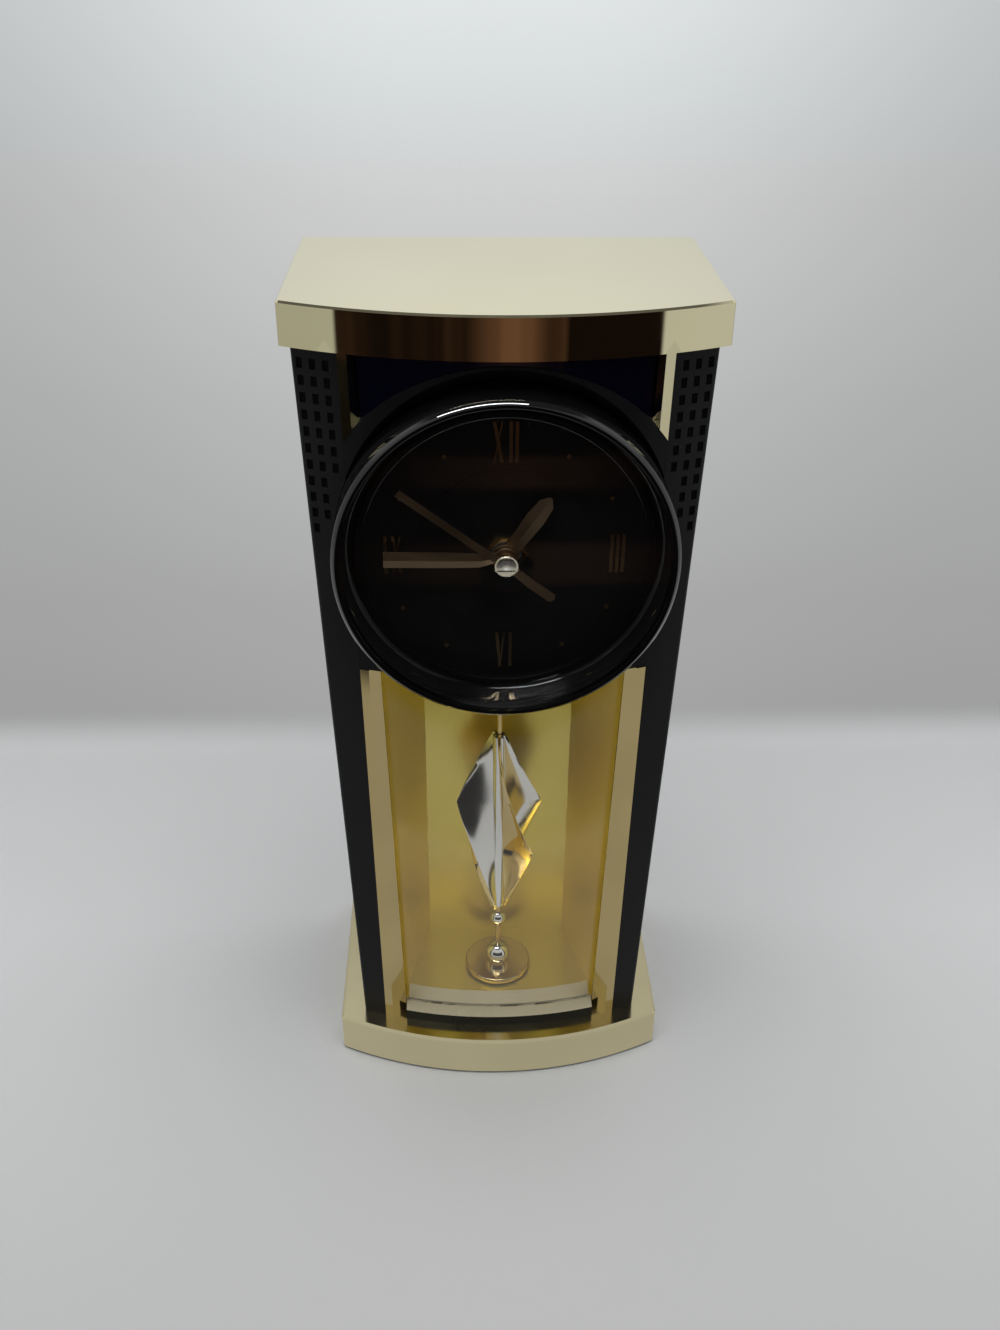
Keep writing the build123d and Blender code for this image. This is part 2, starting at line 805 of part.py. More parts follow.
# ---------------------------------------------------------------- hands
def hand_face(angle, lift):
    """The back face of a hand: its own Y runs along the hand, thickness towards the viewer."""
    turn = radians(angle)
    return Plane(
        origin=(0, dial_y - lift, dial_height), x_dir=(cos(turn), 0, -sin(turn)), z_dir=(0, -1, 0),
    )


def blade_section(angle, lift, reach, width, ridge):
    """A ridged cross-section of a hand, square to its length."""
    turn = radians(angle)
    place = Plane(
        origin=(reach * sin(turn), dial_y - lift, dial_height + reach * cos(turn)),
        x_dir=(cos(turn), 0, -sin(turn)), z_dir=(sin(turn), 0, cos(turn)),
    )
    with BuildSketch(place) as section:
        with BuildLine():
            Polyline(
                (-width / 2, 0), (width / 2, 0), (width / 2, -hand_thickness),
                (0, -hand_thickness - ridge), (-width / 2, -hand_thickness), close=True,
            )
        make_face()
    return section.sketch


def build_hand(angle, lift, collet, bore, stations):
    """A ridged hand through (reach, width) stations, with a round collet on its pipe."""
    widest = max(width for reach, width in stations)
    with BuildPart() as hand:
        sections = [
            blade_section(angle, lift, reach, width, hand_ridge * width / widest)
            for reach, width in stations
        ]
        loft(sections, ruled=True)
        with BuildSketch(hand_face(angle, lift)):
            Circle(collet)
        extrude(amount=hand_thickness + hand_ridge)
        with BuildSketch(hand_face(angle, lift)):
            Circle(bore)
        extrude(amount=hand_thickness + hand_ridge, mode=Mode.SUBTRACT)
    return hand


hour_hand = build_hand(
    hour_hand_angle, hour_hand_lift, hour_collet, hour_pipe_radius,
    ((0, 0.72 * hour_hand_width), (0.65 * hour_hand_length, hour_hand_width),
     (0.9 * hour_hand_length, 0.8 * hour_hand_width), (hour_hand_length, 0.15 * hour_hand_width)),
)
minute_hand = build_hand(
    minute_hand_angle, minute_hand_lift, minute_collet, minute_pipe_radius,
    ((0, 0.8 * minute_hand_width), (0.5 * minute_hand_length, minute_hand_width),
     (minute_hand_length, minute_hand_width)),
)

with BuildPart() as second_hand:
    with BuildSketch(hand_face(second_hand_angle, second_hand_lift)):
        with Locations((0, second_hand_length / 2)):
            Rectangle(second_hand_width, second_hand_length)
        with Locations((0, -second_tail_length / 2)):
            RectangleRounded(second_tail_width, second_tail_length, 0.45 * second_tail_width)
        Circle(hub_cap_radius)
    extrude(amount=hand_thickness)
    with BuildSketch(hand_face(second_hand_angle, second_hand_lift - hub_tube_length)):
        Circle(hub_tube_radius)
    extrude(amount=hub_tube_length)
    with BuildSketch(hand_face(second_hand_angle, second_hand_lift - hub_tube_length)):
        Circle(second_arbor_radius)
    extrude(amount=hub_tube_length + hand_thickness, mode=Mode.SUBTRACT)

hub_cap_lift = second_hand_lift + hand_thickness
with BuildPart() as hub_cap:
    with BuildSketch(hand_face(0, hub_cap_lift)):
        Circle(hub_cap_radius)
    extrude(amount=hub_cap_height)
    fillet(hub_cap.faces().sort_by(Axis.Y)[0].edges(), radius=0.8 * hub_cap_height)
    with BuildSketch(hand_face(0, hub_cap_lift)):
        Circle(second_arbor_radius)
    extrude(amount=hub_cap_height / 2, mode=Mode.SUBTRACT)


# ---------------------------------------------------------------- gears
def gear_outline(teeth, module, place, phase):
    """Straight-flanked clock teeth round a point; a tooth stands at the phase, in degrees."""
    pitch_angle = 2 * pi / teeth
    mid = module * teeth / 2
    tip = mid + 0.85 * module
    root = mid - 1.1 * module
    points = []
    for tooth in range(teeth):
        turn = radians(phase) + tooth * pitch_angle
        for radius, share in ((root, -0.27), (tip, -0.1), (tip, 0.1), (root, 0.27)):
            angle = turn + share * pitch_angle
            points.append((place[0] + radius * cos(angle), place[1] + radius * sin(angle)))
    with BuildLine() as outline:
        Polyline(*points, close=True)
    return outline.edges()


def beside(place, distance, bearing):
    """A point at a distance from another, at a bearing in degrees from the right."""
    return (
        place[0] + distance * cos(radians(bearing)), place[1] + distance * sin(radians(bearing)),
    )


def layer(depth):
    """A sketch plane inside the movement, measured back from the dial, on the hand axis."""
    return facing(dial_back_y + depth, 0, dial_height)


def tier(number):
    """Depth of the front of a wheel's layer."""
    return layer_start + number * layer_pitch


def gear_block(teeth, module, place, phase, front, thickness):
    with BuildSketch(layer(front + thickness)) as outline:
        make_face(gear_outline(teeth, module, place, phase))
    extrude(outline.sketch, amount=thickness)


def round_block(place, radius, front, back, mode=Mode.ADD):
    with BuildSketch(layer(back)) as outline:
        with Locations(place):
            Circle(radius)
    extrude(outline.sketch, amount=back - front, mode=mode)


hand_axis = (0.0, 0.0)
pinion_lap = (pinion_thickness - wheel_thickness) / 2
minute_distance = motion_module * (cannon_teeth + minute_wheel_teeth) / 2
hour_module = 2 * minute_distance / (minute_pinion_teeth + hour_wheel_teeth)
third_distance = train_module * (pinion_teeth + third_wheel_teeth) / 2
centre_module = 2 * third_distance / (pinion_teeth + centre_wheel_teeth)
step_distance = second_module * (pinion_teeth + second_wheel_teeth) / 2
rotor_distance = train_module * (pinion_teeth + step_wheel_teeth) / 2
minute_wheel_place = beside(hand_axis, minute_distance, minute_wheel_bearing)
knob_distance = motion_module * (knob_teeth + minute_wheel_teeth) / 2
knob_place = beside(minute_wheel_place, knob_distance, knob_bearing)
third_place = beside(hand_axis, third_distance, third_wheel_bearing)
step_place = beside(hand_axis, step_distance, step_wheel_bearing)
rotor_place = beside(step_place, rotor_distance, rotor_bearing)
rear_wall_depth = movement_depth - case_rear_wall
rear_pivot = rear_wall_depth + pivot_depth - seam
front_pivot = case_front_wall - pivot_depth / 2
plate_front = tier(3) - bearing_plate_thickness / 2 + wheel_thickness / 2 - 0.1


def gap_phase(teeth, bearing):
    """Phase that puts a gap, not a tooth, at the bearing."""
    return bearing + 180.0 / teeth


with BuildPart() as hour_wheel:
    gear_block(
        hour_wheel_teeth, hour_module, hand_axis, gap_phase(hour_wheel_teeth, minute_wheel_bearing),
        tier(0), wheel_thickness,
    )
    round_block(hand_axis, hour_pipe_radius, -dial_thickness - hour_hand_lift - hand_thickness, tier(0))
    round_block(
        hand_axis, minute_pipe_radius + running_gap, -overall_depth, tier(0) + wheel_thickness,
        Mode.SUBTRACT,
    )

with BuildPart() as minute_wheel:
    gear_block(
        minute_wheel_teeth, motion_module, minute_wheel_place,
        gap_phase(minute_wheel_teeth, minute_wheel_bearing + 180), tier(1), wheel_thickness,
    )
    gear_block(
        minute_pinion_teeth, hour_module, minute_wheel_place, minute_wheel_bearing + 180,
        tier(0) - pinion_lap, pinion_thickness,
    )
    round_block(minute_wheel_place, 0.75 * minute_pinion_teeth * hour_module / 2, tier(0), tier(1))
    round_block(
        minute_wheel_place, post_radius + running_gap, 0, tier(1) + wheel_thickness, Mode.SUBTRACT,
    )

with BuildPart() as cannon_pinion:
    gear_block(
        cannon_teeth, motion_module, hand_axis, minute_wheel_bearing, tier(1) - pinion_lap,
        pinion_thickness,
    )
    round_block(
        hand_axis, minute_pipe_radius, -dial_thickness - minute_hand_lift - hand_thickness,
        tier(1) - pinion_lap,
    )
    round_block(hand_axis, seat_radius, tier(1) - pinion_lap, plate_front - seam)
    round_block(
        hand_axis, second_arbor_radius + running_gap, -overall_depth, plate_front, Mode.SUBTRACT,
    )

with BuildPart() as centre_wheel:
    gear_block(
        centre_wheel_teeth, centre_module, hand_axis,
        gap_phase(centre_wheel_teeth, third_wheel_bearing), tier(2), wheel_thickness,
    )
    round_block(
        hand_axis, seat_radius + running_gap, tier(2), tier(2) + wheel_thickness, Mode.SUBTRACT,
    )

with BuildPart() as third_wheel:
    gear_block(
        third_wheel_teeth, train_module, third_place,
        gap_phase(third_wheel_teeth, third_wheel_bearing + 180), tier(4), wheel_thickness,
    )
    gear_block(
        pinion_teeth, centre_module, third_place, third_wheel_bearing + 180, tier(2) - pinion_lap,
        pinion_thickness,
    )
    round_block(third_place, arbor_radius, front_pivot, rear_pivot)

with BuildPart() as second_wheel:
    gear_block(
        second_wheel_teeth, second_module, hand_axis,
        gap_phase(second_wheel_teeth, step_wheel_bearing), tier(5), wheel_thickness,
    )
    gear_block(
        pinion_teeth, train_module, hand_axis, third_wheel_bearing, tier(4) - pinion_lap,
        pinion_thickness,
    )
    round_block(
        hand_axis, second_arbor_radius, -dial_thickness - hub_cap_lift - hub_cap_height / 2 + seam,
        rear_pivot,
    )

with BuildPart() as step_wheel:
    gear_block(
        step_wheel_teeth, train_module, step_place, gap_phase(step_wheel_teeth, rotor_bearing),
        tier(6), wheel_thickness,
    )
    gear_block(
        pinion_teeth, second_module, step_place, step_wheel_bearing + 180, tier(5) - pinion_lap,
        pinion_thickness,
    )
    round_block(step_place, arbor_radius, plate_front, rear_pivot)

with BuildPart() as rotor:
    gear_block(
        pinion_teeth, train_module, rotor_place, rotor_bearing + 180, tier(6) - pinion_lap,
        pinion_thickness,
    )
    round_block(rotor_place, arbor_radius, plate_front, rear_pivot)
    round_block(rotor_place, rotor_radius, tier(7), tier(7) + rotor_height)

with BuildPart() as setting_knob:
    gear_block(
        knob_teeth, motion_module, knob_place, knob_bearing + 180, tier(1) - pinion_lap,
        pinion_thickness,
    )
    round_block(knob_place, arbor_radius, front_pivot, tier(1))
    round_block(knob_place, knob_shaft_radius, tier(1), movement_depth + running_gap)
    knob_front = movement_depth + running_gap
    round_block(knob_place, knob_radius, knob_front, knob_front + knob_height)
    with BuildSketch(layer(knob_front + knob_height)):
        with Locations(knob_place):
            with PolarLocations(knob_radius, knob_flutes):
                Circle(knob_radius * pi / knob_flutes / 2)
    extrude(amount=knob_height, mode=Mode.SUBTRACT)

# ---------------------------------------------------------------- movement case and bearing plate
train_middle = (0, train_height / 2 - train_floor_drop)
bay_middle = (0, -battery_drop)
rear_bearings = (hand_axis, third_place, step_place, rotor_place)

with BuildPart() as movement_front_case:
    with BuildSketch(layer(case_split)):
        Rectangle(movement_size, movement_size)
    extrude(amount=case_split)
    with BuildSketch(layer(case_split)):
        with Locations(train_middle):
            Rectangle(train_width, train_height)
        with Locations(bay_middle):
            Rectangle(2 * bay_half, bay_height)
    extrude(amount=case_split - case_front_wall, mode=Mode.SUBTRACT)
    round_block(hand_axis, bushing_radius, -dial_thickness - bushing_lift, 0)
    round_block(
        hand_axis, hour_pipe_radius + running_gap, -overall_depth, case_split, Mode.SUBTRACT,
    )
    round_block(minute_wheel_place, post_radius, case_front_wall, tier(1) + wheel_thickness + 0.2)
    for place in (third_place, knob_place):
        round_block(
            place, arbor_radius + running_gap, front_pivot - seam, case_front_wall, Mode.SUBTRACT,
        )

with BuildPart() as movement_back_case:
    with BuildSketch(layer(movement_depth)):
        Rectangle(movement_size, movement_size)
        with Locations(bay_middle):
            Rectangle(2 * bay_half, bay_height, mode=Mode.SUBTRACT)
        with Locations(knob_place):
            Circle(knob_shaft_radius + running_gap, mode=Mode.SUBTRACT)
    extrude(amount=movement_depth - case_split)
    with BuildSketch(layer(rear_wall_depth)):
        with Locations(train_middle):
            Rectangle(train_width, train_height)
    extrude(amount=rear_wall_depth - case_split, mode=Mode.SUBTRACT)
    round_block(
        hand_axis, second_arbor_radius + running_gap, rear_wall_depth, rear_pivot + seam, Mode.SUBTRACT,
    )
    for place in rear_bearings[1:]:
        round_block(
            place, arbor_radius + running_gap, rear_wall_depth, rear_pivot + seam, Mode.SUBTRACT,
        )

with BuildPart() as bearing_plate:
    with BuildSketch(layer(plate_front + bearing_plate_thickness)):
        with Locations(train_middle):
            Rectangle(train_width - 2 * seam, train_height - 2 * seam)
        with Locations(hand_axis):
            Circle(second_arbor_radius + running_gap, mode=Mode.SUBTRACT)
        with Locations(third_place, step_place, rotor_place):
            Circle(arbor_radius + running_gap, mode=Mode.SUBTRACT)
        with Locations(knob_place):
            Circle(knob_shaft_radius + running_gap, mode=Mode.SUBTRACT)
    extrude(amount=bearing_plate_thickness)

with BuildPart() as fixing_nut:
    with BuildSketch(facing(dial_y - centre_height, 0, dial_height)):
        RegularPolygon(nut_across_flats / 2, 6, major_radius=False)
        Circle(bushing_radius, mode=Mode.SUBTRACT)
    extrude(amount=nut_height)

# ---------------------------------------------------------------- motor and circuit board
stator_front = tier(7) + (rotor_height - stator_thickness) / 2
stator_middle = stator_front + stator_thickness / 2
coil_left = rotor_place[0] - motor_coil_length / 4
coil_right = coil_left + motor_coil_length
arm_width = 2.5
stator_low = rotor_place[1] - 3.0

with BuildPart() as stator:
    with BuildSketch(layer(stator_front + stator_thickness)):
        for left, right, low, high in (
            (coil_left - arm_width, coil_right + arm_width, stator_low, rotor_place[1] + 3.0),
            (coil_left - arm_width, coil_left, stator_low, motor_coil_rise + 1.5),
            (coil_right, coil_right + arm_width, stator_low, motor_coil_rise + 1.5),
        ):
            with Locations(((left + right) / 2, (low + high) / 2)):
                Rectangle(right - left, high - low)
        with Locations(rotor_place):
            Circle(stator_hole, mode=Mode.SUBTRACT)
    extrude(amount=stator_thickness)
    with Locations(
        Location(
            ((coil_left + coil_right) / 2, dial_back_y + stator_middle, dial_height + motor_coil_rise),
            (0, 90, 0),
        )
    ):
        Cylinder(0.8, motor_coil_length + 2 * seam)

with BuildPart() as motor_coil:
    with Locations(
        Location(
            ((coil_left + coil_right) / 2, dial_back_y + stator_middle, dial_height + motor_coil_rise),
            (0, 90, 0),
        )
    ):
        Cylinder(motor_coil_radius, motor_coil_length - 2 * seam)
        Cylinder(0.8 + seam, motor_coil_length, mode=Mode.SUBTRACT)

circuit_left = seam - train_width / 2
with BuildPart() as circuit_board:
    with BuildSketch(layer(rear_wall_depth)):
        with Locations((circuit_left + circuit_width / 2, train_middle[1])):
            Rectangle(circuit_width, circuit_height)
    extrude(amount=circuit_thickness)
    with BuildSketch(layer(rear_wall_depth - circuit_thickness)):
        with Locations((circuit_left + circuit_width / 2, train_middle[1] + circuit_height / 4)):
            RectangleRounded(crystal_width, crystal_length, 0.45 * crystal_width)
        with Locations((circuit_left + circuit_width / 2, train_middle[1] - circuit_height / 5)):
            Rectangle(chip_width, chip_width)
    extrude(amount=chip_thickness)


# ---------------------------------------------------------------- batteries and their contacts
def build_battery(y, z):
    """A round cell lying left to right, with its nub to the right."""
    left = contact_thickness + cell_clearance / 2 - bay_half
    with BuildPart() as battery:
        with BuildSketch(Plane.YZ.offset(left)):
            with Locations((y, z)):
                Circle(battery_radius)
        extrude(amount=battery_length)
        fillet(battery.edges().filter_by(GeomType.CIRCLE), radius=0.6)
        with BuildSketch(Plane.YZ.offset(left + battery_length)):
            with Locations((y, z)):
                Circle(battery_nub_radius)
        extrude(amount=battery_nub)
    return battery


movement_cell = (
    dial_back_y + case_front_wall + battery_radius + cell_clearance, dial_height - battery_drop,
)
drive_cell = (tray_y, body_base + tray_wall + battery_radius + cell_clearance)
movement_battery = build_battery(*movement_cell)
drive_battery = build_battery(*drive_cell)

with BuildPart() as battery_contacts:
    for y, z in (movement_cell, drive_cell):
        for side in (-1, 1):
            with Locations((side * (bay_half - contact_thickness / 2), y, z)):
                Box(contact_thickness, contact_size, contact_size)

with BuildPart() as drive_tray:
    with BuildSketch(Plane.XY.offset(body_base)):
        with Locations((0, tray_y)):
            Rectangle(2 * (bay_half + tray_wall), bay_height + 2 * tray_wall)
    extrude(amount=tray_height)
    with BuildSketch(Plane.XY.offset(body_base + tray_wall)):
        with Locations((0, tray_y)):
            Rectangle(2 * bay_half, bay_height)
    extrude(amount=tray_height, mode=Mode.SUBTRACT)

# ---------------------------------------------------------------- chamber
with BuildPart() as chamber_floor:
    with BuildSketch(Plane.XY.offset(body_base)):
        floor_half = opening_half(body_base) + reflector_margin
        floor_back = reflector_back_y + reflector_thickness
        near = pane_back + pane_clearance
        make_face(bowed_plan(floor_half, bow_y(floor_half, near), bow_y(0, near), floor_back))
        with Locations((0, axis_y)):
            Circle(pivot_cup_radius + seam, mode=Mode.SUBTRACT)
    extrude(amount=floor_thickness)


def reflector_section(z):
    """The niche seen from above: a flat back and two splayed cheeks of even thickness."""
    front_half = opening_half(z) + reflector_margin
    back_half = reflector_back_width / 2
    skin = reflector_thickness
    with BuildLine() as outline:
        Polyline(
            (-front_half, reflector_front_y), (-back_half, reflector_back_y),
            (back_half, reflector_back_y), (front_half, reflector_front_y),
            (front_half + skin, reflector_front_y), (back_half + skin, reflector_back_y + skin),
            (-back_half - skin, reflector_back_y + skin), (-front_half - skin, reflector_front_y),
            close=True,
        )
    return outline.edges()


with BuildPart() as chamber_reflector:
    for z in (floor_top, ceiling_bottom):
        with BuildSketch(Plane.XY.offset(z)):
            make_face(reflector_section(z))
    loft(ruled=True)


# ---------------------------------------------------------------- rotating pendulum
def upright(radius, low, high, mode=Mode.ADD):
    """A cylinder on the pendulum's axis."""
    with BuildSketch(Plane.XY.offset(low)) as disc:
        with Locations((0, axis_y)):
            Circle(radius)
    extrude(disc.sketch, amount=high - low, mode=mode)


spindle_bottom = body_base + 1.2
spindle_top = ceiling_bottom + ceiling_thickness - 0.4
foot_bottom = floor_top + foot_disc_lift
foot_top = foot_bottom + foot_disc_thickness

with BuildPart() as pendulum_bearings:
    upright(pivot_cup_radius, body_base, floor_top + pivot_cup_lift)
    upright(
        upper_bearing_radius, ceiling_bottom + ceiling_thickness - upper_bearing_height,
        ceiling_bottom + ceiling_thickness,
    )
    upright(spindle_radius + running_gap, spindle_bottom - seam, spindle_top + seam, Mode.SUBTRACT)

with BuildPart() as pendulum_spindle:
    upright(spindle_radius, spindle_bottom, spindle_top)

with BuildPart() as pendulum_foot:
    upright(foot_disc_radius, foot_bottom, foot_top)
    fillet(pendulum_foot.faces().sort_by(Axis.Z)[-1].edges(), radius=0.6)
    with BuildSketch(Plane.XY.offset(foot_bottom)):
        with Locations((0, axis_y)):
            with PolarLocations(magnet_circle, 4):
                Circle(magnet_radius)
    extrude(amount=magnet_thickness, mode=Mode.SUBTRACT)
    upright(spindle_radius, foot_bottom, foot_top, Mode.SUBTRACT)

with BuildPart() as foot_magnets:
    with BuildSketch(Plane.XY.offset(foot_bottom)):
        with Locations((0, axis_y)):
            with PolarLocations(magnet_circle, 4):
                Circle(magnet_radius)
    extrude(amount=magnet_thickness)


def threaded_ball(radius, middle, floor):
    """A ball on the spindle, cut flat where it stands on something."""
    with BuildPart() as ball:
        with Locations((0, axis_y, middle)):
            Sphere(radius)
        split(bisect_by=Plane.XY.offset(floor), keep=Keep.TOP)
        upright(spindle_radius, middle - radius, middle + radius, Mode.SUBTRACT)
    return ball


pendulum_ball = threaded_ball(ball_radius, foot_top + 0.7 * ball_radius, foot_top)
pendulum_bead = threaded_ball(bead_radius, bead_height, bead_height - 0.98 * bead_radius)


def vane_section(z, peak, start):
    """One vane of the ornament at a height: widest at its peak, turned a little at each height."""
    if z < peak:
        share = (z - vane_bottom) / (peak - vane_bottom)
    else:
        share = (vane_top - z) / (vane_top - peak)
    reach = vane_core_radius + 0.4 + (vane_radius - vane_core_radius - 0.4) * share
    turn = start + vane_twist * (z - vane_bottom) / (vane_top - vane_bottom)
    place = Plane(origin=(0, axis_y, z), x_dir=(cos(radians(turn)), sin(radians(turn)), 0))
    with BuildSketch(place) as section:
        with Locations((reach / 2 + 0.5, 0)):
            Rectangle(reach - 1.0, vane_thickness)
    return section.sketch


def build_vane(peak, start):
    """A twisted vane outside the ornament's core."""
    heights = [vane_bottom + (vane_top - vane_bottom) * i / vane_steps for i in range(vane_steps + 1)]
    heights = sorted(heights + [peak])
    with BuildPart() as vane:
        loft([vane_section(z, peak, start) for z in heights], ruled=True)
        upright(vane_core_radius, vane_bottom - 1.0, vane_top + 1.0, Mode.SUBTRACT)
    return vane


vane_starts = (63, 2, 243, 182)

with BuildPart() as silver_vanes:
    upright(vane_core_radius, vane_bottom, vane_top)
    chamfer(silver_vanes.edges().filter_by(GeomType.CIRCLE), length=0.9)
    upright(spindle_radius, vane_bottom, vane_top, Mode.SUBTRACT)
    for start in vane_starts[0::2]:
        add(build_vane(silver_peak, start).part)

with BuildPart() as gold_vanes:
    for start in vane_starts[1::2]:
        add(build_vane(gold_peak, start).part)

# ---------------------------------------------------------------- pendulum drive
board_bottom = board_stand
coil_bottom = board_bottom + board_thickness

with BuildPart() as drive_board:
    with BuildSketch(Plane.XY.offset(board_bottom)):
        with Locations((0, axis_y)):
            Rectangle(board_width, board_length)
    extrude(amount=board_thickness)

with BuildPart() as drive_coil:
    upright(coil_outer_radius, coil_bottom, coil_bottom + coil_height)
    upright(coil_inner_radius, coil_bottom, coil_bottom + coil_height, Mode.SUBTRACT)


# ---------------------------------------------------------------- screws
with BuildPart() as case_screws:
    for place, points in (
        (Plane.XY.offset(base_screw_seat), base_screw_points),
        (facing(carrier_back_y), drum_screw_points),
    ):
        with BuildSketch(place):
            with Locations(*points):
                Circle(screw_head_radius)
        extrude(amount=-screw_head_height)
        with BuildSketch(place):
            with Locations(*points):
                Circle(screw_radius)
        extrude(amount=screw_length)

# ---------------------------------------------------------------- one file per piece
pieces = {
    "top_cap": top_cap, "base_plinth": base_plinth, "base_plate": base_plate,
    "rubber_feet": rubber_feet, "left_pillar": left_pillar, "right_pillar": right_pillar,
    "upper_left_trim": upper_left_trim, "upper_right_trim": upper_right_trim,
    "lower_left_trim": lower_left_trim, "lower_right_trim": lower_right_trim,
    "drum_surround": drum_surround, "upper_panel": upper_panel,
    "rear_housing": rear_housing, "back_cover": back_cover, "bottom_rail": bottom_rail,
    "window_pane": window_pane, "window_sill": window_sill, "dial_drum": dial_drum,
    "dial_lens": dial_lens, "inner_ring": inner_ring, "dial_plate": dial_plate,
    "dial_centre": dial_centre, "hour_markers": hour_markers, "hour_hand": hour_hand,
    "minute_hand": minute_hand, "second_hand": second_hand, "hub_cap": hub_cap,
    "hour_wheel": hour_wheel, "minute_wheel": minute_wheel, "cannon_pinion": cannon_pinion,
    "centre_wheel": centre_wheel, "third_wheel": third_wheel, "second_wheel": second_wheel,
    "step_wheel": step_wheel, "rotor": rotor, "setting_knob": setting_knob,
    "movement_front_case": movement_front_case, "movement_back_case": movement_back_case,
    "bearing_plate": bearing_plate, "fixing_nut": fixing_nut, "stator": stator,
    "motor_coil": motor_coil, "circuit_board": circuit_board, "movement_battery": movement_battery,
    "drive_battery": drive_battery, "battery_contacts": battery_contacts, "drive_tray": drive_tray,
    "chamber_floor": chamber_floor, "chamber_reflector": chamber_reflector,
    "pendulum_bearings": pendulum_bearings,
    "pendulum_spindle": pendulum_spindle,
    "pendulum_foot": pendulum_foot, "foot_magnets": foot_magnets, "pendulum_ball": pendulum_ball,
    "pendulum_bead": pendulum_bead, "silver_vanes": silver_vanes, "gold_vanes": gold_vanes,
    "drive_board": drive_board, "drive_coil": drive_coil, "case_screws": case_screws,
}

os.makedirs("parts", exist_ok=True)
for label, piece in pieces.items():
    piece.part.label = label
    export_step(piece.part, f"parts/{label}.step")
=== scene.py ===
"""Looks of the desk pendulum clock: its camera, its light box, and a finish for every piece."""

import json
import math

import bmesh
import bpy
from mathutils import Matrix, Vector


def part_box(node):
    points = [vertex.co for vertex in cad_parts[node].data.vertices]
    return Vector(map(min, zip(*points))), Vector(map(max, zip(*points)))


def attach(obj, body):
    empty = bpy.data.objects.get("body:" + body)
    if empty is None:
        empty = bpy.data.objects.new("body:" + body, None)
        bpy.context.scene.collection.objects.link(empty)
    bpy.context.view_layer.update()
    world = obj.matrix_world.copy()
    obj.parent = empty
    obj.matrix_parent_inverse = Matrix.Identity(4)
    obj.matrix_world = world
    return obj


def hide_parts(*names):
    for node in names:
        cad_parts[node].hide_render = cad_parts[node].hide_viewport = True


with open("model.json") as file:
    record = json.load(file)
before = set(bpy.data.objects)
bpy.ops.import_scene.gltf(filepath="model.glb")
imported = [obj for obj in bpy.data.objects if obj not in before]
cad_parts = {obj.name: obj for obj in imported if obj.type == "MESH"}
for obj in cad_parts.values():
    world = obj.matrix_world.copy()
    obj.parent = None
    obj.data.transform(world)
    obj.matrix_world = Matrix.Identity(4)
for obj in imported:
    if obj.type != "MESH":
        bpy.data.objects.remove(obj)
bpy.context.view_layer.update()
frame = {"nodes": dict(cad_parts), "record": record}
nodes_of_clock = frame["nodes"]

# ---------------------------------------------------------------- camera

# where the photograph was taken from, and which way its right, its down and its depth run
camera_place = Vector((-0.01188, -0.32314, 0.32459))
camera_right = Vector((0.99946073, -0.03163773, 0.0087925))
camera_down = Vector((-0.00888965, -0.51846076, -0.85505521))
camera_ahead = Vector((0.03161057, 0.85451594, -0.51846242))
lens_length = 34.944
film_width = 36
nearest_seen = 0.01


def set_up_camera():
    """A camera at the photograph's place, with its angle of view."""
    lens_data = bpy.data.cameras.new("photo_camera")
    lens_data.lens = lens_length
    lens_data.sensor_width = film_width
    lens_data.clip_start = nearest_seen
    camera = bpy.data.objects.new("photo_camera", lens_data)
    bpy.context.scene.collection.objects.link(camera)
    turn = Matrix((camera_right, -camera_down, -camera_ahead)).transposed()
    camera.matrix_world = Matrix.Translation(camera_place) @ turn.to_4x4()
    bpy.context.scene.camera = camera


set_up_camera()
bpy.context.scene.view_settings.view_transform = "Standard"

# ---------------------------------------------------------------- helpers for node trees


def add(tree, kind, **settings):
    """A node of that kind in a tree, with its plain properties set."""
    node = tree.nodes.new(kind)
    for key, value in settings.items():
        setattr(node, key, value)
    return node


def feed(tree, slot, value):
    """A slot gets a link from a socket, or a plain value; a colour is given as three numbers."""
    if isinstance(value, bpy.types.NodeSocket):
        tree.links.new(value, slot)
    elif slot.type == "RGBA":
        slot.default_value = (*value, 1)
    else:
        slot.default_value = value


def math_node(tree, operation, first, second=None, clamp=False):
    """One arithmetic step; each input is a socket or a number."""
    node = add(tree, "ShaderNodeMath", operation=operation, use_clamp=clamp)
    feed(tree, node.inputs[0], first)
    if second is not None:
        feed(tree, node.inputs[1], second)
    return node.outputs[0]


def times(tree, first, second):
    """The product of two values."""
    return math_node(tree, "MULTIPLY", first, second)


def larger(tree, first, second):
    """The larger of two values."""
    return math_node(tree, "MAXIMUM", first, second)


def size_of(tree, value):
    """A value without its sign."""
    return math_node(tree, "ABSOLUTE", value)


def remap(tree, value, low, high, to_low=0.0, to_high=1.0, smooth=False):
    """A value carried from one span to another, held at the ends."""
    node = add(tree, "ShaderNodeMapRange", interpolation_type="SMOOTHSTEP" if smooth else "LINEAR")
    spans = {"Value": value, "From Min": low, "From Max": high, "To Min": to_low, "To Max": to_high}
    for name, given in spans.items():
        feed(tree, node.inputs[name], given)
    return node.outputs["Result"]


def blend_colours(tree, share, first, second):
    """Two colours mixed by a share; each colour is a socket or three numbers."""
    node = add(tree, "ShaderNodeMix", data_type="RGBA")
    for place, value in ((0, share), (6, first), (7, second)):
        feed(tree, node.inputs[place], value)
    return node.outputs[2]


def mix_surfaces(tree, share, first, second):
    """Two surfaces mixed by a share."""
    node = add(tree, "ShaderNodeMixShader")
    for slot, value in zip(node.inputs, (share, first, second)):
        feed(tree, slot, value)
    return node.outputs[0]


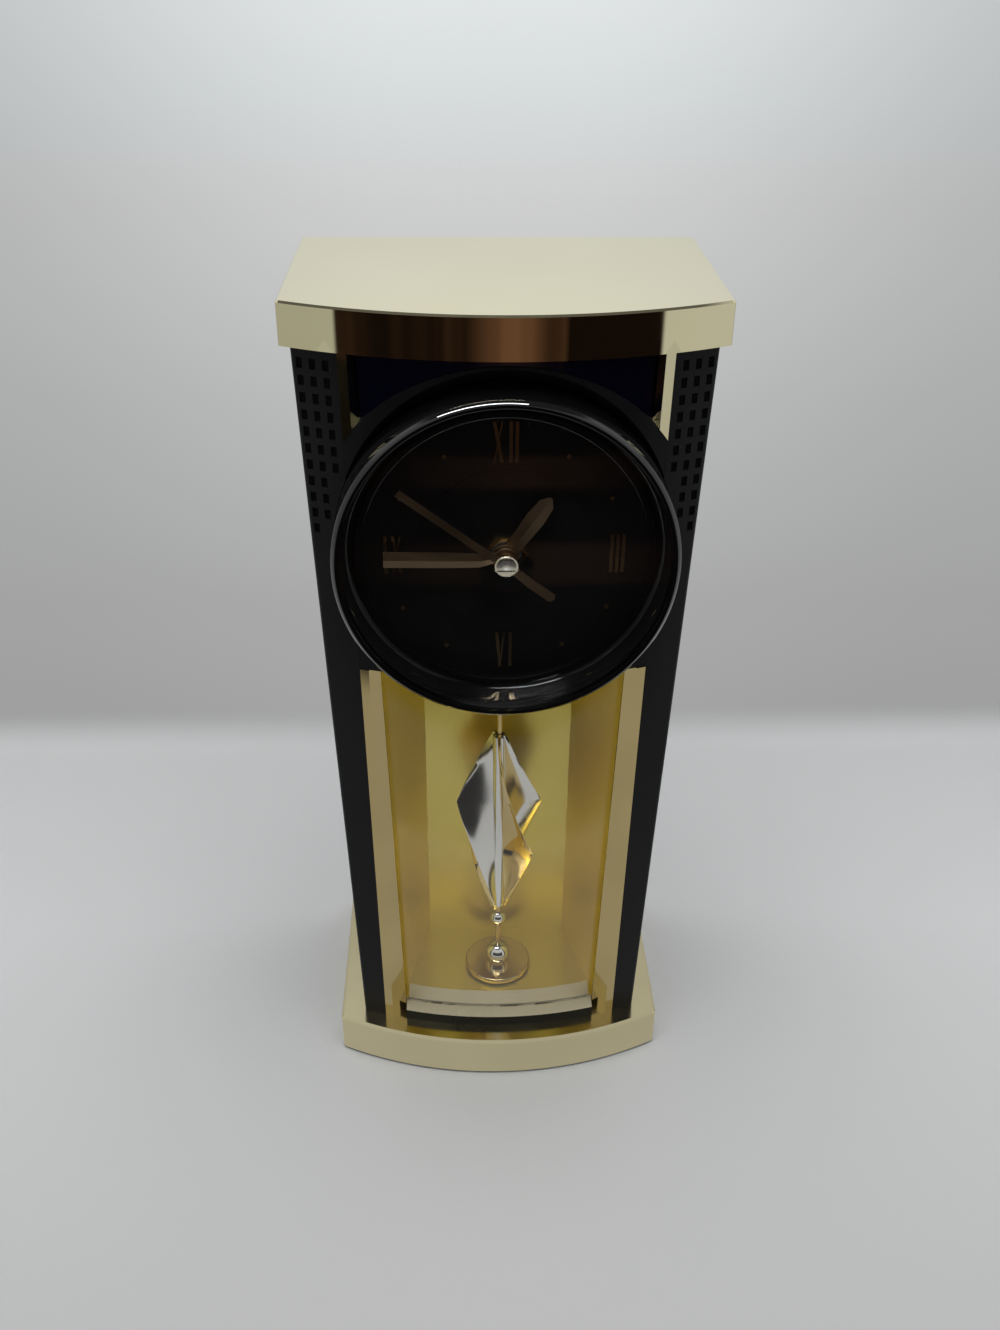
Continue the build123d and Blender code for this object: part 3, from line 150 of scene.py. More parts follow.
def glow_of(tree, colour, strength=1.0):
    """A surface that gives its own light."""
    node = add(tree, "ShaderNodeEmission")
    feed(tree, node.inputs["Color"], colour)
    feed(tree, node.inputs["Strength"], strength)
    return node.outputs[0]


def raise_relief(tree, shader, height, depth):
    """A height between 0 and 1 drawn on a surface as relief of that depth."""
    bump = add(tree, "ShaderNodeBump")
    bump.inputs["Distance"].default_value = depth
    tree.links.new(height, bump.inputs["Height"])
    tree.links.new(bump.outputs["Normal"], shader.inputs["Normal"])


def parts_of(tree, vector):
    """The X, Y and Z of a place or a direction."""
    node = add(tree, "ShaderNodeSeparateXYZ")
    tree.links.new(vector, node.inputs[0])
    return node.outputs


def surface_place(tree):
    """The place on the piece, in metres."""
    return add(tree, "ShaderNodeTexCoord").outputs["Object"]


def noise(tree, place, scale, detail=3.0, rough=0.5):
    """Soft noise over a place."""
    node = add(tree, "ShaderNodeTexNoise")
    feed(tree, node.inputs["Vector"], place)
    feed(tree, node.inputs["Scale"], scale)
    node.inputs["Detail"].default_value = detail
    node.inputs["Roughness"].default_value = rough
    return node.outputs["Fac"]


def noise_along(tree, value, scale):
    """Soft noise that changes with one number alone."""
    node = add(tree, "ShaderNodeTexNoise", noise_dimensions="1D")
    tree.links.new(value, node.inputs["W"])
    node.inputs["Scale"].default_value = scale
    node.inputs["Detail"].default_value = 2.0
    return node.outputs["Fac"]


def new_effect(name, inputs, outputs):
    """An empty node group with named sockets: (name, kind, default) in, (name, kind) out."""
    group = bpy.data.node_groups.new(name, "ShaderNodeTree")
    for label, kind, default in inputs:
        kind = "NodeSocket" + kind
        socket = group.interface.new_socket(label, in_out="INPUT", socket_type=kind)
        socket.default_value = default
    for label, kind in outputs:
        group.interface.new_socket(label, in_out="OUTPUT", socket_type="NodeSocket" + kind)
    entry = add(group, "NodeGroupInput")
    result = add(group, "NodeGroupOutput")
    return group, entry.outputs, result.inputs


# ---------------------------------------------------------------- effects shared by the finishes

white = (1, 1, 1, 1)
speck_scale = 420.0
speck_full, speck_gone = 0.05, 0.14
speck_patch_scale = 90.0


def make_tone_drift():
    """A colour that wanders a little towards a second one, as lacquer and metal do."""
    group, given, made = new_effect(
        "tone_drift",
        (("Colour", "Color", white), ("Second", "Color", white), ("Scale", "Float", 30.0)),
        (("Colour", "Color"),),
    )
    share = remap(group, noise(group, surface_place(group), given["Scale"]), 0.35, 0.65)
    tone = blend_colours(group, share, given["Colour"], given["Second"])
    group.links.new(tone, made["Colour"])
    return group


def make_handling():
    """Roughness of a wiped surface, mostly polished with duller patches, and its specks of dust."""
    group, given, made = new_effect(
        "handling",
        (("Polished", "Float", 0.1), ("Dull", "Float", 0.2), ("Scale", "Float", 40.0)),
        (("Roughness", "Float"), ("Dust", "Float")),
    )
    place = surface_place(group)
    patches = remap(group, noise(group, place, given["Scale"], 4.0, 0.6), 0.4, 0.7, smooth=True)
    worn = remap(group, patches, 0.0, 1.0, given["Polished"], given["Dull"])
    group.links.new(worn, made["Roughness"])
    specks = add(group, "ShaderNodeTexVoronoi", feature="F1")
    group.links.new(place, specks.inputs["Vector"])
    specks.inputs["Scale"].default_value = speck_scale
    spots = remap(group, specks.outputs["Distance"], speck_full, speck_gone, 1.0, 0.0)
    here_and_there = remap(group, noise(group, place, speck_patch_scale), 0.56, 0.66)
    group.links.new(times(group, spots, here_and_there), made["Dust"])
    return group


def make_fine_grain():
    """Height of an even texture: paint peel at a low scale, moulded or cast grain at a high one."""
    group, given, made = new_effect(
        "fine_grain", (("Scale", "Float", 800.0),), (("Height", "Float"),)
    )
    height = noise(group, surface_place(group), given["Scale"], 2.0, 0.5)
    group.links.new(height, made["Height"])
    return group


def make_turning_marks():
    """Rings left by a lathe or a spinning brush round an axis: their height and their shade."""
    group, given, made = new_effect(
        "turning_marks",
        (
            ("Centre", "Vector", (0, 0, 0)), ("Across", "Vector", (1, 1, 0)),
            ("Pitch", "Float", 0.0002),
        ),
        (("Height", "Float"), ("Shade", "Float")),
    )

    def vector_step(operation, *values):
        node = add(group, "ShaderNodeVectorMath", operation=operation)
        for slot, value in zip(node.inputs, values):
            group.links.new(value, slot)
        return node.outputs

    offset = vector_step("SUBTRACT", surface_place(group), given["Centre"])[0]
    flat = vector_step("MULTIPLY", offset, given["Across"])[0]
    reach = vector_step("LENGTH", flat)["Value"]
    marks = noise_along(group, math_node(group, "DIVIDE", reach, given["Pitch"]), 1.0)
    group.links.new(marks, made["Height"])
    group.links.new(remap(group, marks, 0.3, 0.7), made["Shade"])
    return group


tone_drift = make_tone_drift()
handling = make_handling()
fine_grain = make_fine_grain()
turning_marks = make_turning_marks()

# ---------------------------------------------------------------- finishes

finishes = {}
dust_colour = (0.55, 0.53, 0.5)
haze_colour = (0.8, 0.8, 0.8)
coat_roughness = 0.04


def effect(tree, group, **values):
    """One effect placed in a material with its own values; its outputs are handed back."""
    node = add(tree, "ShaderNodeGroup", node_tree=group)
    for label, value in values.items():
        feed(tree, node.inputs[label], value)
    return node.outputs


def begin_finish(name):
    """A new material, kept in finishes under its name; its tree and its shader are handed back."""
    material = bpy.data.materials.new(name)
    material.use_nodes = True
    finishes[name] = material
    return material.node_tree, material.node_tree.nodes["Principled BSDF"]


def show_surface(tree, surface):
    """A surface becomes what the material shows."""
    tree.links.new(surface, tree.nodes["Material Output"].inputs["Surface"])


def lay_finish(
    name, colour, second, polished, dull, metallic=0.0, coat=0.0, drift=30.0, grain=0.0,
    grain_scale=900.0, dust=0.0, specular=0.5,
):
    """A painted, moulded or plated surface: drifting tone, uneven polish, fine grain, some dust."""
    tree, shader = begin_finish(name)
    base = effect(tree, tone_drift, Colour=colour, Second=second, Scale=drift)["Colour"]
    worn = effect(tree, handling, Polished=polished, Dull=dull, Scale=40.0)
    if dust:
        base = blend_colours(tree, times(tree, worn["Dust"], dust), base, dust_colour)
    tree.links.new(base, shader.inputs["Base Color"])
    tree.links.new(worn["Roughness"], shader.inputs["Roughness"])
    shader.inputs["Metallic"].default_value = metallic
    shader.inputs["Coat Weight"].default_value = coat
    shader.inputs["Coat Roughness"].default_value = coat_roughness
    shader.inputs["Specular IOR Level"].default_value = specular
    if grain:
        height = effect(tree, fine_grain, Scale=grain_scale)["Height"]
        raise_relief(tree, shader, height, grain)


def turn_finish(name, colour, second, centre, across, pitch, depth, polished, dull):
    """A turned or spun-brushed metal: fine rings round an axis in its relief and its tone."""
    tree, shader = begin_finish(name)
    rings = effect(tree, turning_marks, Centre=centre, Across=across, Pitch=pitch)
    worn = effect(tree, handling, Polished=polished, Dull=dull, Scale=60.0)
    tone = blend_colours(tree, rings["Shade"], colour, second)
    tree.links.new(tone, shader.inputs["Base Color"])
    tree.links.new(worn["Roughness"], shader.inputs["Roughness"])
    shader.inputs["Metallic"].default_value = 1.0
    raise_relief(tree, shader, rings["Height"], depth)


def clear_finish(name, tint, index, specular):
    """Polished clear sheet that lets the lamps and the light between the pieces inside through."""
    tree, shader = begin_finish(name)
    worn = effect(tree, handling, Polished=0.0, Dull=0.015, Scale=25.0)
    tree.links.new(worn["Roughness"], shader.inputs["Roughness"])
    haze = blend_colours(tree, times(tree, worn["Dust"], 0.08), tint, haze_colour)
    tree.links.new(haze, shader.inputs["Base Color"])
    shader.inputs["Transmission Weight"].default_value = 1.0
    shader.inputs["IOR"].default_value = index
    shader.inputs["Specular IOR Level"].default_value = specular
    through = add(tree, "ShaderNodeBsdfTransparent")
    through.inputs["Color"].default_value = (*tint, 1)
    path = add(tree, "ShaderNodeLightPath").outputs
    inner = larger(tree, path["Is Glossy Ray"], path["Is Diffuse Ray"])
    inner = math_node(tree, "SUBTRACT", inner, path["Is Transmission Ray"], clamp=True)
    passing = larger(tree, path["Is Shadow Ray"], inner)
    show_surface(tree, mix_surfaces(tree, passing, shader.outputs[0], through.outputs[0]))


def paint_light_on_faces(name, axis, start, full, colour):
    """In one finish, the faces that are turned along an axis carry a second colour: painted light
    on those faces.
    """
    tree = finishes[name].node_tree
    base = tree.nodes["Principled BSDF"].inputs["Base Color"]
    facing = parts_of(tree, add(tree, "ShaderNodeNewGeometry").outputs["Normal"])
    turned = remap(tree, size_of(tree, facing[axis]), start, full)
    first = base.links[0].from_socket
    tree.links.new(blend_colours(tree, turned, first, colour), base)


mm = 0.001
dial_height = 0.1801
pendulum_y = -0.00605

lay_finish(
    "champagne_lacquer", (0.86, 0.79, 0.53), (0.83, 0.75, 0.48), polished=0.02, dull=0.045,
    metallic=1.0, coat=0.3, drift=14.0, dust=0.03,
)
lay_finish(
    "black_lacquer", (0.0055, 0.0055, 0.006), (0.007, 0.007, 0.008), polished=0.3, dull=0.42,
    specular=0.15, grain=0.000004, grain_scale=1400.0, dust=0.03,
)
lay_finish(
    "navy_lacquer", (0.0007, 0.0009, 0.005), (0.001, 0.0013, 0.007), polished=0.04, dull=0.08,
    coat=0.5, dust=0.02,
)
lay_finish(
    "drum_black", (0.002, 0.002, 0.0022), (0.003, 0.003, 0.0033), polished=0.025, dull=0.05,
    coat=0.5, dust=0.04,
)
lay_finish(
    "dial_black", (0.0022, 0.0022, 0.0024), (0.003, 0.003, 0.0034), polished=0.4, dull=0.5,
    specular=0.15,
)
clear_finish("clear_glass", (0.985, 0.99, 0.99), index=1.5, specular=0.12)
clear_finish("clear_acrylic", (0.985, 0.985, 0.98), index=1.49, specular=0.4)
lay_finish(
    "silver_bright", (0.78, 0.78, 0.79), (0.7, 0.7, 0.72), polished=0.08, dull=0.16, metallic=1.0
)
lay_finish(
    "hand_metal", (0.36, 0.26, 0.165), (0.3, 0.21, 0.13), polished=0.32, dull=0.42, metallic=1.0
)
lay_finish(
    "marker_gold", (0.6, 0.45, 0.27), (0.52, 0.38, 0.22), polished=0.2, dull=0.3, metallic=1.0
)
# the lower trims take a darker, deeper gold than their slot's finish: painted shade
lay_finish(
    "trim_gold_painted_shade", (0.58, 0.46, 0.22), (0.52, 0.41, 0.19), polished=0.05, dull=0.1, metallic=1.0,
    coat=0.2, dust=0.03,
)
# the plinth takes a rougher, darker copy of the cap's champagne lacquer; its darker colour is
# painted shade
lay_finish(
    "plinth_satin_painted_shade", (0.76, 0.68, 0.43), (0.71, 0.63, 0.39), polished=0.14, dull=0.22,
    metallic=1.0, coat=0.1, drift=14.0, dust=0.05,
)
lay_finish(
    "button_gold", (0.84, 0.77, 0.6), (0.78, 0.7, 0.53), polished=0.26, dull=0.32, metallic=1.0
)
lay_finish(
    "reflector_gold", (0.86, 0.71, 0.185), (0.82, 0.66, 0.165), polished=0.3, dull=0.31,
    metallic=0.85,
)
# painted light: the faces turned along X, the chamber's side cheeks, are painted a brighter gold
# than the back so they read as lit
paint_light_on_faces("reflector_gold", "X", 0.35, 0.55, (0.98, 0.83, 0.235))
lay_finish(
    "sill_silver", (0.66, 0.61, 0.48), (0.6, 0.55, 0.42), polished=0.3, dull=0.42, metallic=0.25
)
lay_finish(
    "vane_silver", (0.86, 0.85, 0.82), (0.8, 0.79, 0.76), polished=0.1, dull=0.16, metallic=1.0
)
lay_finish(
    "vane_gold", (0.8, 0.62, 0.27), (0.72, 0.54, 0.22), polished=0.06, dull=0.11, metallic=1.0
)
turn_finish(
    "brass_turned", (0.74, 0.58, 0.3), (0.66, 0.5, 0.24), centre=(0.0, pendulum_y, 0.0),
    across=(1.0, 1.0, 0.0), pitch=0.00025, depth=0.00001, polished=0.14, dull=0.24,
)
lay_finish(
    "steel_plated", (0.62, 0.62, 0.61), (0.5, 0.5, 0.5), polished=0.2, dull=0.34, metallic=1.0,
    grain=0.000004,
)
lay_finish(
    "gear_white", (0.75, 0.75, 0.71), (0.68, 0.68, 0.63), polished=0.4, dull=0.55, grain=0.000006
)
lay_finish(
    "movement_black", (0.018, 0.018, 0.02), (0.028, 0.028, 0.03), polished=0.42, dull=0.6,
    grain=0.00003, grain_scale=2400.0, dust=0.06,
)
lay_finish(
    "copper_winding", (0.62, 0.27, 0.11), (0.5, 0.2, 0.08), polished=0.22, dull=0.34,
    metallic=0.85, grain=0.00002, grain_scale=3200.0,
)
lay_finish(
    "board_green", (0.015, 0.12, 0.05), (0.02, 0.16, 0.07), polished=0.25, dull=0.4, coat=0.4,
    grain=0.00001, grain_scale=1800.0,
)
lay_finish(
    "rubber_black", (0.022, 0.022, 0.023), (0.034, 0.034, 0.035), polished=0.7, dull=0.9,
    grain=0.00002, grain_scale=2000.0, dust=0.12,
)
lay_finish(
    "cell_jacket", (0.05, 0.12, 0.22), (0.06, 0.15, 0.26), polished=0.2, dull=0.3, coat=0.3
)
lay_finish(
    "rail_lacquer", (0.006, 0.006, 0.0065), (0.006, 0.006, 0.0065), polished=0.25, dull=0.35,
    specular=0.2, dust=0.03,
)
# painted highlight: the rail's upward faces are painted pale gold-grey, unlike the rest of its
# black lacquer
paint_light_on_faces("rail_lacquer", "Z", 0.6, 0.8, (0.44, 0.4, 0.29))

# CAD pieces whose finish isn't the one of their slot
own_finishes = {
    "base_plinth": "plinth_satin_painted_shade",
    "lower_left_trim": "trim_gold_painted_shade",
    "lower_right_trim": "trim_gold_painted_shade",
    "hour_markers": "marker_gold",
    "bottom_rail": "rail_lacquer",
}


def finish_the_cad_nodes():
    """Every CAD piece takes its own finish, or the one of its record's slot."""
    for part in frame["record"]["subparts"]:
        piece = nodes_of_clock[part["node"]]
        piece.data.materials.clear()
        finish = own_finishes.get(part["node"], part["material_slot"])
        piece.data.materials.append(finishes[finish])


finish_the_cad_nodes()

# ---------------------------------------------------------------- pieces finer than their solids

weld_distance = 0.000002
crease_angle = math.radians(28)


def finish_mesh(name, shape, body, slot, material, *nodes):
    """The made shape becomes a smooth piece in place of its nodes, on its body; the slot it is
    handed is not used.
    """
    bmesh.ops.remove_doubles(shape, verts=shape.verts, dist=weld_distance)
    bmesh.ops.recalc_face_normals(shape, faces=shape.faces)
    mesh = bpy.data.meshes.new(name)
    shape.to_mesh(mesh)
    shape.free()
    mesh.shade_smooth()
    mesh.set_sharp_from_angle(angle=crease_angle)
    mesh.materials.append(material)
    piece = bpy.data.objects.new(name, mesh)
    bpy.context.scene.collection.objects.link(piece)
    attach(piece, body)
    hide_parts(*nodes)


def on_dial_axis(reach, along, turn):
    """A point round the dial's axis, from a radius and a place along Y, in millimetres."""
    across, up = reach * mm * math.cos(turn), reach * mm * math.sin(turn)
    return Vector((across, along * mm, dial_height + up))


def on_pendulum_axis(reach, along, turn):
    """A point round the pendulum's upright axis, from a radius and a height in millimetres."""
    across, deep = reach * mm * math.cos(turn), reach * mm * math.sin(turn)
    return Vector((across, pendulum_y + deep, along * mm))


def turn_on_lathe(shape, profile, place, steps):
    """A closed profile of (radius, distance) pairs, in millimetres, carried right round an axis."""
    rings = [
        [
            shape.verts.new(place(reach, along, 2 * math.pi * step / steps))
            for reach, along in profile
        ]
        for step in range(steps)
    ]
    for first, second in zip(rings, rings[1:] + rings[:1]):
        for here in range(len(profile)):
            there = (here + 1) % len(profile)
            if profile[here][0] == 0 and profile[there][0] == 0:
                continue
            shape.faces.new((first[here], first[there], second[there], second[here]))


def make_drum():
    """Gloss drum: a bevelled rim, the lens seat, and the funnel down to the dial."""
    rim = [
        (43.2, -19.6), (43.2, -39.2), (43.17, -39.3), (42.35, -40.16), (42.2, -40.25),
        (41.5, -40.25), (41.3, -40.15), (41.25, -39.95),
    ]
    lens_seat = [(41.25, -38.25), (40.6, -38.25)]
    funnel = [(38.05, -32.05), (38.05, -30.65), (40.4, -30.65), (40.4, -19.6)]
    shape = bmesh.new()
    turn_on_lathe(shape, rim + lens_seat + funnel, on_dial_axis, 240)
    finish_mesh("gloss_drum", shape, "case", "drum_black", finishes["drum_black"], "dial_drum")


def make_ring():
    """Slim gloss ring on the dial with a softened inner edge that catches the light."""
    shape = bmesh.new()
    turn_on_lathe(shape, (
        (36.2, -30.66), (36.2, -31.75), (36.26, -31.95), (36.45, -32.05), (37.75, -32.05),
        (37.86, -31.98), (37.88, -31.85), (37.88, -30.66),
    ), on_dial_axis, 240)
    finish_mesh("dial_ring", shape, "case", "drum_black", finishes["drum_black"], "inner_ring")


button_radius = 3.0
button_dome_rise = 0.85
button_dome_steps = 12
button_dome_sweep = 80


def make_hub_cap():
    """Domed button over the hands with a small pit in its middle."""
    low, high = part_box("hub_cap")
    front, back = low.y / mm, high.y / mm
    dome = []
    for step in range(button_dome_steps + 1):
        turn = math.radians(button_dome_sweep * step / button_dome_steps)
        fall = button_dome_rise * (1 - math.sin(turn))
        dome.append((button_radius * math.cos(turn), front + fall))
    back_face = [
        (0.0, back - 0.5), (0.4, back - 0.5), (0.4, back), (2.85, back),
        (button_radius, back - 0.12),
    ]
    pit = [(0.45, front + 0.03), (0.38, front + 0.3), (0.0, front + 0.36)]
    shape = bmesh.new()
    turn_on_lathe(shape, back_face + dome + pit, on_dial_axis, 64)
    finish_mesh(
        "hands_button", shape, "second_body", "hand_metal", finishes["button_gold"], "hub_cap"
    )


vane_foot, vane_head = 42.0, 109.0
core_bore, core_radius = 1.05, 2.0
vane_root = 1.2
vane_shoulder = 2.45
vane_reach = 12.99
vane_twist = math.radians(-100)
vane_steps = 72
# (share of the way from the root to the edge, half the thickness there)
vane_section = ((0.0, 0.62), (0.35, 0.56), (0.75, 0.42), (0.96, 0.2), (1.0, 0.0))
silver_peak, silver_starts = 84.0, (63, 243)
gold_peak, gold_starts = 70.0, (2, 182)


def twist_vane(shape, peak, start):
    """One twisted vane: widest at its peak, lens-shaped in section, thinning to a soft edge."""
    rows = []
    for step in range(vane_steps + 1):
        height = vane_foot + (vane_head - vane_foot) * step / vane_steps
        if height < peak:
            width = (height - vane_foot) / (peak - vane_foot)
        else:
            width = (vane_head - height) / (vane_head - peak)
        reach = vane_shoulder + (vane_reach - vane_shoulder) * width
        turn = math.radians(start) + vane_twist * (height - vane_foot) / (vane_head - vane_foot)
        side = [(vane_root + (reach - vane_root) * share, half) for share, half in vane_section]
        outline = side + [(out, -half) for out, half in reversed(side[:-1])]
        rows.append([
            shape.verts.new(Vector((
                (out * math.cos(turn) - half * math.sin(turn)) * mm,
                pendulum_y + (out * math.sin(turn) + half * math.cos(turn)) * mm,
                height * mm,
            )))
            for out, half in outline
        ])
    for lower, upper in zip(rows, rows[1:]):
        for here in range(len(lower)):
            there = (here + 1) % len(lower)
            shape.faces.new((lower[here], lower[there], upper[there], upper[here]))
    shape.faces.new(rows[0])
    shape.faces.new(rows[-1])


def make_vanes():
    """The pendulum's ornament: two bright silver vanes on their core, two gold between them."""
    silver = bmesh.new()
    turn_on_lathe(silver, (
        (core_bore, vane_foot), (1.3, vane_foot), (core_radius, 42.7),
        (core_radius, 108.3), (1.3, vane_head), (core_bore, vane_head),
    ), on_pendulum_axis, 40)
    for start in silver_starts:
        twist_vane(silver, silver_peak, start)
    finish_mesh(
        "silver_ornament", silver, "pendulum", "vane_silver", finishes["vane_silver"],
        "silver_vanes",
    )
    gold = bmesh.new()
    for start in gold_starts:
        twist_vane(gold, gold_peak, start)
    finish_mesh(
        "gold_ornament", gold, "pendulum", "vane_gold", finishes["vane_gold"], "gold_vanes"
    )


make_drum()
make_ring()
make_hub_cap()
make_vanes()

# ---------------------------------------------------------------- light box

wall_y = 0.156
wall_top = 0.5
cove_radius = 0.018
cove_steps = 12
floor_front_y = -0.55
box_half_width = 0.6

# greys of the wall's glow from its foot to its top
wall_greys = (
    (0.0, (0.37, 0.37, 0.37)), (0.132, (0.4, 0.403, 0.4)), (0.307, (0.5, 0.51, 0.51)),
    (0.455, (0.617, 0.62, 0.62)), (0.521, (0.68, 0.71, 0.72)), (0.571, (0.74, 0.77, 0.78)),
    (0.66, (0.84, 0.86, 0.86)), (1.0, (0.92, 0.92, 0.92)),
)
wall_foot = (0.0, 0.014)
middle_to_side = (0.02, 0.22)
side_glow_heights, side_glow = (0.05, 0.3), (0.92, 0.66)
paper_near, paper_far = (0.41, 0.413, 0.41), (0.53, 0.537, 0.54)
paper_near_to_far = (-0.14, 0.03)
paper_grain_scale, paper_grain_depth = 900.0, 0.00002
mirrored_floor = (0.47, 0.473, 0.47)
mirrored_front = (0.006, 0.005, 0.004)

# before this line the floor is dark in reflections, between edges that spread at this slant
open_front_y = -0.19
open_front_fade = 0.02
open_front_slant = 0.975
open_front_side_fade = (-0.006, 0.006)


def make_light_box():
    """Floor and back wall in one sheet with a rounded join."""
    profile = [Vector((0, y, 0)) for y in (floor_front_y, -0.2, 0.0)]
    for step in range(cove_steps + 1):
        angle = math.radians(90 * step / cove_steps)
        profile.append(Vector((
            0,
            wall_y - cove_radius + cove_radius * math.sin(angle),
            cove_radius - cove_radius * math.cos(angle),
        )))
    profile += [Vector((0, wall_y, 0.2)), Vector((0, wall_y, wall_top))]
    sheet = bmesh.new()
    rows = [
        [sheet.verts.new(point + Vector((side * box_half_width, 0, 0))) for point in profile]
        for side in (-1, 1)
    ]
    for corners in zip(rows[0], rows[1], rows[1][1:], rows[0][1:]):
        sheet.faces.new(corners)
    mesh = bpy.data.meshes.new("light_box")
    sheet.to_mesh(mesh)
    sheet.free()
    mesh.shade_smooth()
    stage = bpy.data.objects.new("light_box", mesh)
    bpy.context.scene.collection.objects.link(stage)
    return stage


def mirrored(tree, path):
    """One for a ray that left a polished or clear surface and has met nothing matt."""
    bright = larger(tree, path["Is Glossy Ray"], path["Is Transmission Ray"])
    return times(tree, bright, math_node(tree, "LESS_THAN", path["Diffuse Depth"], 0.5))


def lay_paper(tree, shader, place):
    """Matt paper with a faint grain, a little darker in front."""
    depth = remap(tree, place["Y"], *paper_near_to_far)
    tree.links.new(
        blend_colours(tree, depth, paper_near, paper_far), shader.inputs["Base Color"]
    )
    shader.inputs["Roughness"].default_value = 0.85
    shader.inputs["Specular IOR Level"].default_value = 0.2
    grain = noise(tree, surface_place(tree), paper_grain_scale, 4.0)
    raise_relief(tree, shader, grain, paper_grain_depth)


def wall_glow(tree, place):
    """The wall's own light: a soft gradient up its height, dimmer to both sides."""
    greys = add(tree, "ShaderNodeValToRGB")
    tree.links.new(remap(tree, place["Z"], 0.0, wall_top), greys.inputs[0])
    ramp = greys.color_ramp
    for end, (position, colour) in zip(ramp.elements, (wall_greys[0], wall_greys[-1])):
        end.position = position
        end.color = (*colour, 1)
    for position, colour in wall_greys[1:-1]:
        ramp.elements.new(position).color = (*colour, 1)
    aside = remap(tree, size_of(tree, place["X"]), *middle_to_side, smooth=True)
    side_strength = remap(tree, place["Z"], *side_glow_heights, *side_glow)
    strength = remap(tree, aside, 0.0, 1.0, 1.0, side_strength)
    return glow_of(tree, greys.outputs["Color"], strength)


def open_front(tree, place):
    """One on the part of the floor that is dark in reflections."""
    far = open_front_y - open_front_fade
    ahead = remap(tree, place["Y"], far, open_front_y, 1.0, 0.0, smooth=True)
    slant = times(tree, place["Y"], open_front_slant)
    spread = math_node(tree, "ADD", size_of(tree, place["X"]), slant)
    return times(tree, ahead, remap(tree, spread, *open_front_side_fade, 1.0, 0.0))


def paint_light_box(stage):
    """Pale paper: the floor takes shadows, the wall glows, and both vanish from behind."""
    tree, shader = begin_finish("pale_paper")
    place = parts_of(tree, surface_place(tree))
    path = add(tree, "ShaderNodeLightPath").outputs
    lay_paper(tree, shader, place)
    upright = remap(tree, place["Z"], *wall_foot, smooth=True)
    seen = larger(tree, path["Is Camera Ray"], path["Is Glossy Ray"])
    seen = larger(tree, seen, path["Is Transmission Ray"])
    on_wall = times(tree, upright, seen)
    surface = mix_surfaces(tree, on_wall, shader.outputs[0], wall_glow(tree, place))
    on_floor = math_node(tree, "SUBTRACT", mirrored(tree, path), upright, clamp=True)
    surface = mix_surfaces(tree, on_floor, surface, glow_of(tree, mirrored_floor))
    in_front = times(tree, open_front(tree, place), mirrored(tree, path))
    surface = mix_surfaces(tree, in_front, surface, glow_of(tree, mirrored_front))
    from_behind = add(tree, "ShaderNodeNewGeometry").outputs["Backfacing"]
    clear = add(tree, "ShaderNodeBsdfTransparent").outputs[0]
    show_surface(tree, mix_surfaces(tree, from_behind, surface, clear))
    stage.data.materials.append(finishes["pale_paper"])


paint_light_box(make_light_box())

# ---------------------------------------------------------------- lamps


def hang_soft_lamp(name, place, aim, width, depth, power):
    """A white lamp sheet that the camera doesn't see."""
    data = bpy.data.lights.new(name, "AREA")
    data.shape = "RECTANGLE"
    data.size = width
    data.size_y = depth
    data.energy = power
    lamp = bpy.data.objects.new(name, data)
    bpy.context.scene.collection.objects.link(lamp)
    lamp.location = place
    lamp.rotation_euler = (Vector(aim) - Vector(place)).to_track_quat("-Z", "Y").to_euler()
    lamp.visible_camera = False
    return lamp


# the panel gives the soft light, the tube only the bright line on the drum's rim
roof_panel = hang_soft_lamp(
    "roof_panel", (0.0, 0.0, 0.8), (0.0, 0.02, 0.0), width=0.8, depth=0.6, power=6.4
)
roof_panel.visible_glossy = False
roof_panel.visible_transmission = False
roof_tube = hang_soft_lamp(
    "roof_tube", (-0.083, -0.179, 0.6), (-0.083, -0.12, 0.2), width=0.332, depth=0.045, power=1.9
)
roof_tube.visible_diffuse = False

# ---------------------------------------------------------------- room

room_to_the_eye = (0.5, 0.51, 0.515)
room_in_soft_light = (0.49, 0.495, 0.5)
opening_dark, opening_warm = (0.007, 0.004, 0.003), (0.15, 0.075, 0.045)
left_wall, right_wall = (0.41, 0.42, 0.4), (0.53, 0.54, 0.53)
roof_bright, roof_dark = (0.86, 0.87, 0.87), (0.11, 0.11, 0.11)

# where one part of the mirrored room passes into the next: bearings in radians from straight
# before the dial, heights and depths as the Z and the Y of a direction
opening_edge = (0.75, 0.775)
left_to_right = (-0.9, 0.9)
roof_height = (0.3, 0.5)
overhead_height = (0.72, 0.82)
roof_front_depth, roof_front_share = (-0.4, -0.1), 0.45
glow_bearing, glow_half_width, glow_share = 0.05, (0.04, 0.24), 0.6
streak_scale, streak_contrast, streak_share = 5.0, (0.45, 0.7), 0.35
glow_right_edge, glow_left_edge, left_of_glow = (0.295, 0.32), (-0.32, -0.24), 0.35
glow_foot, glow_top = (-0.325, -0.315), (-0.275, -0.265)


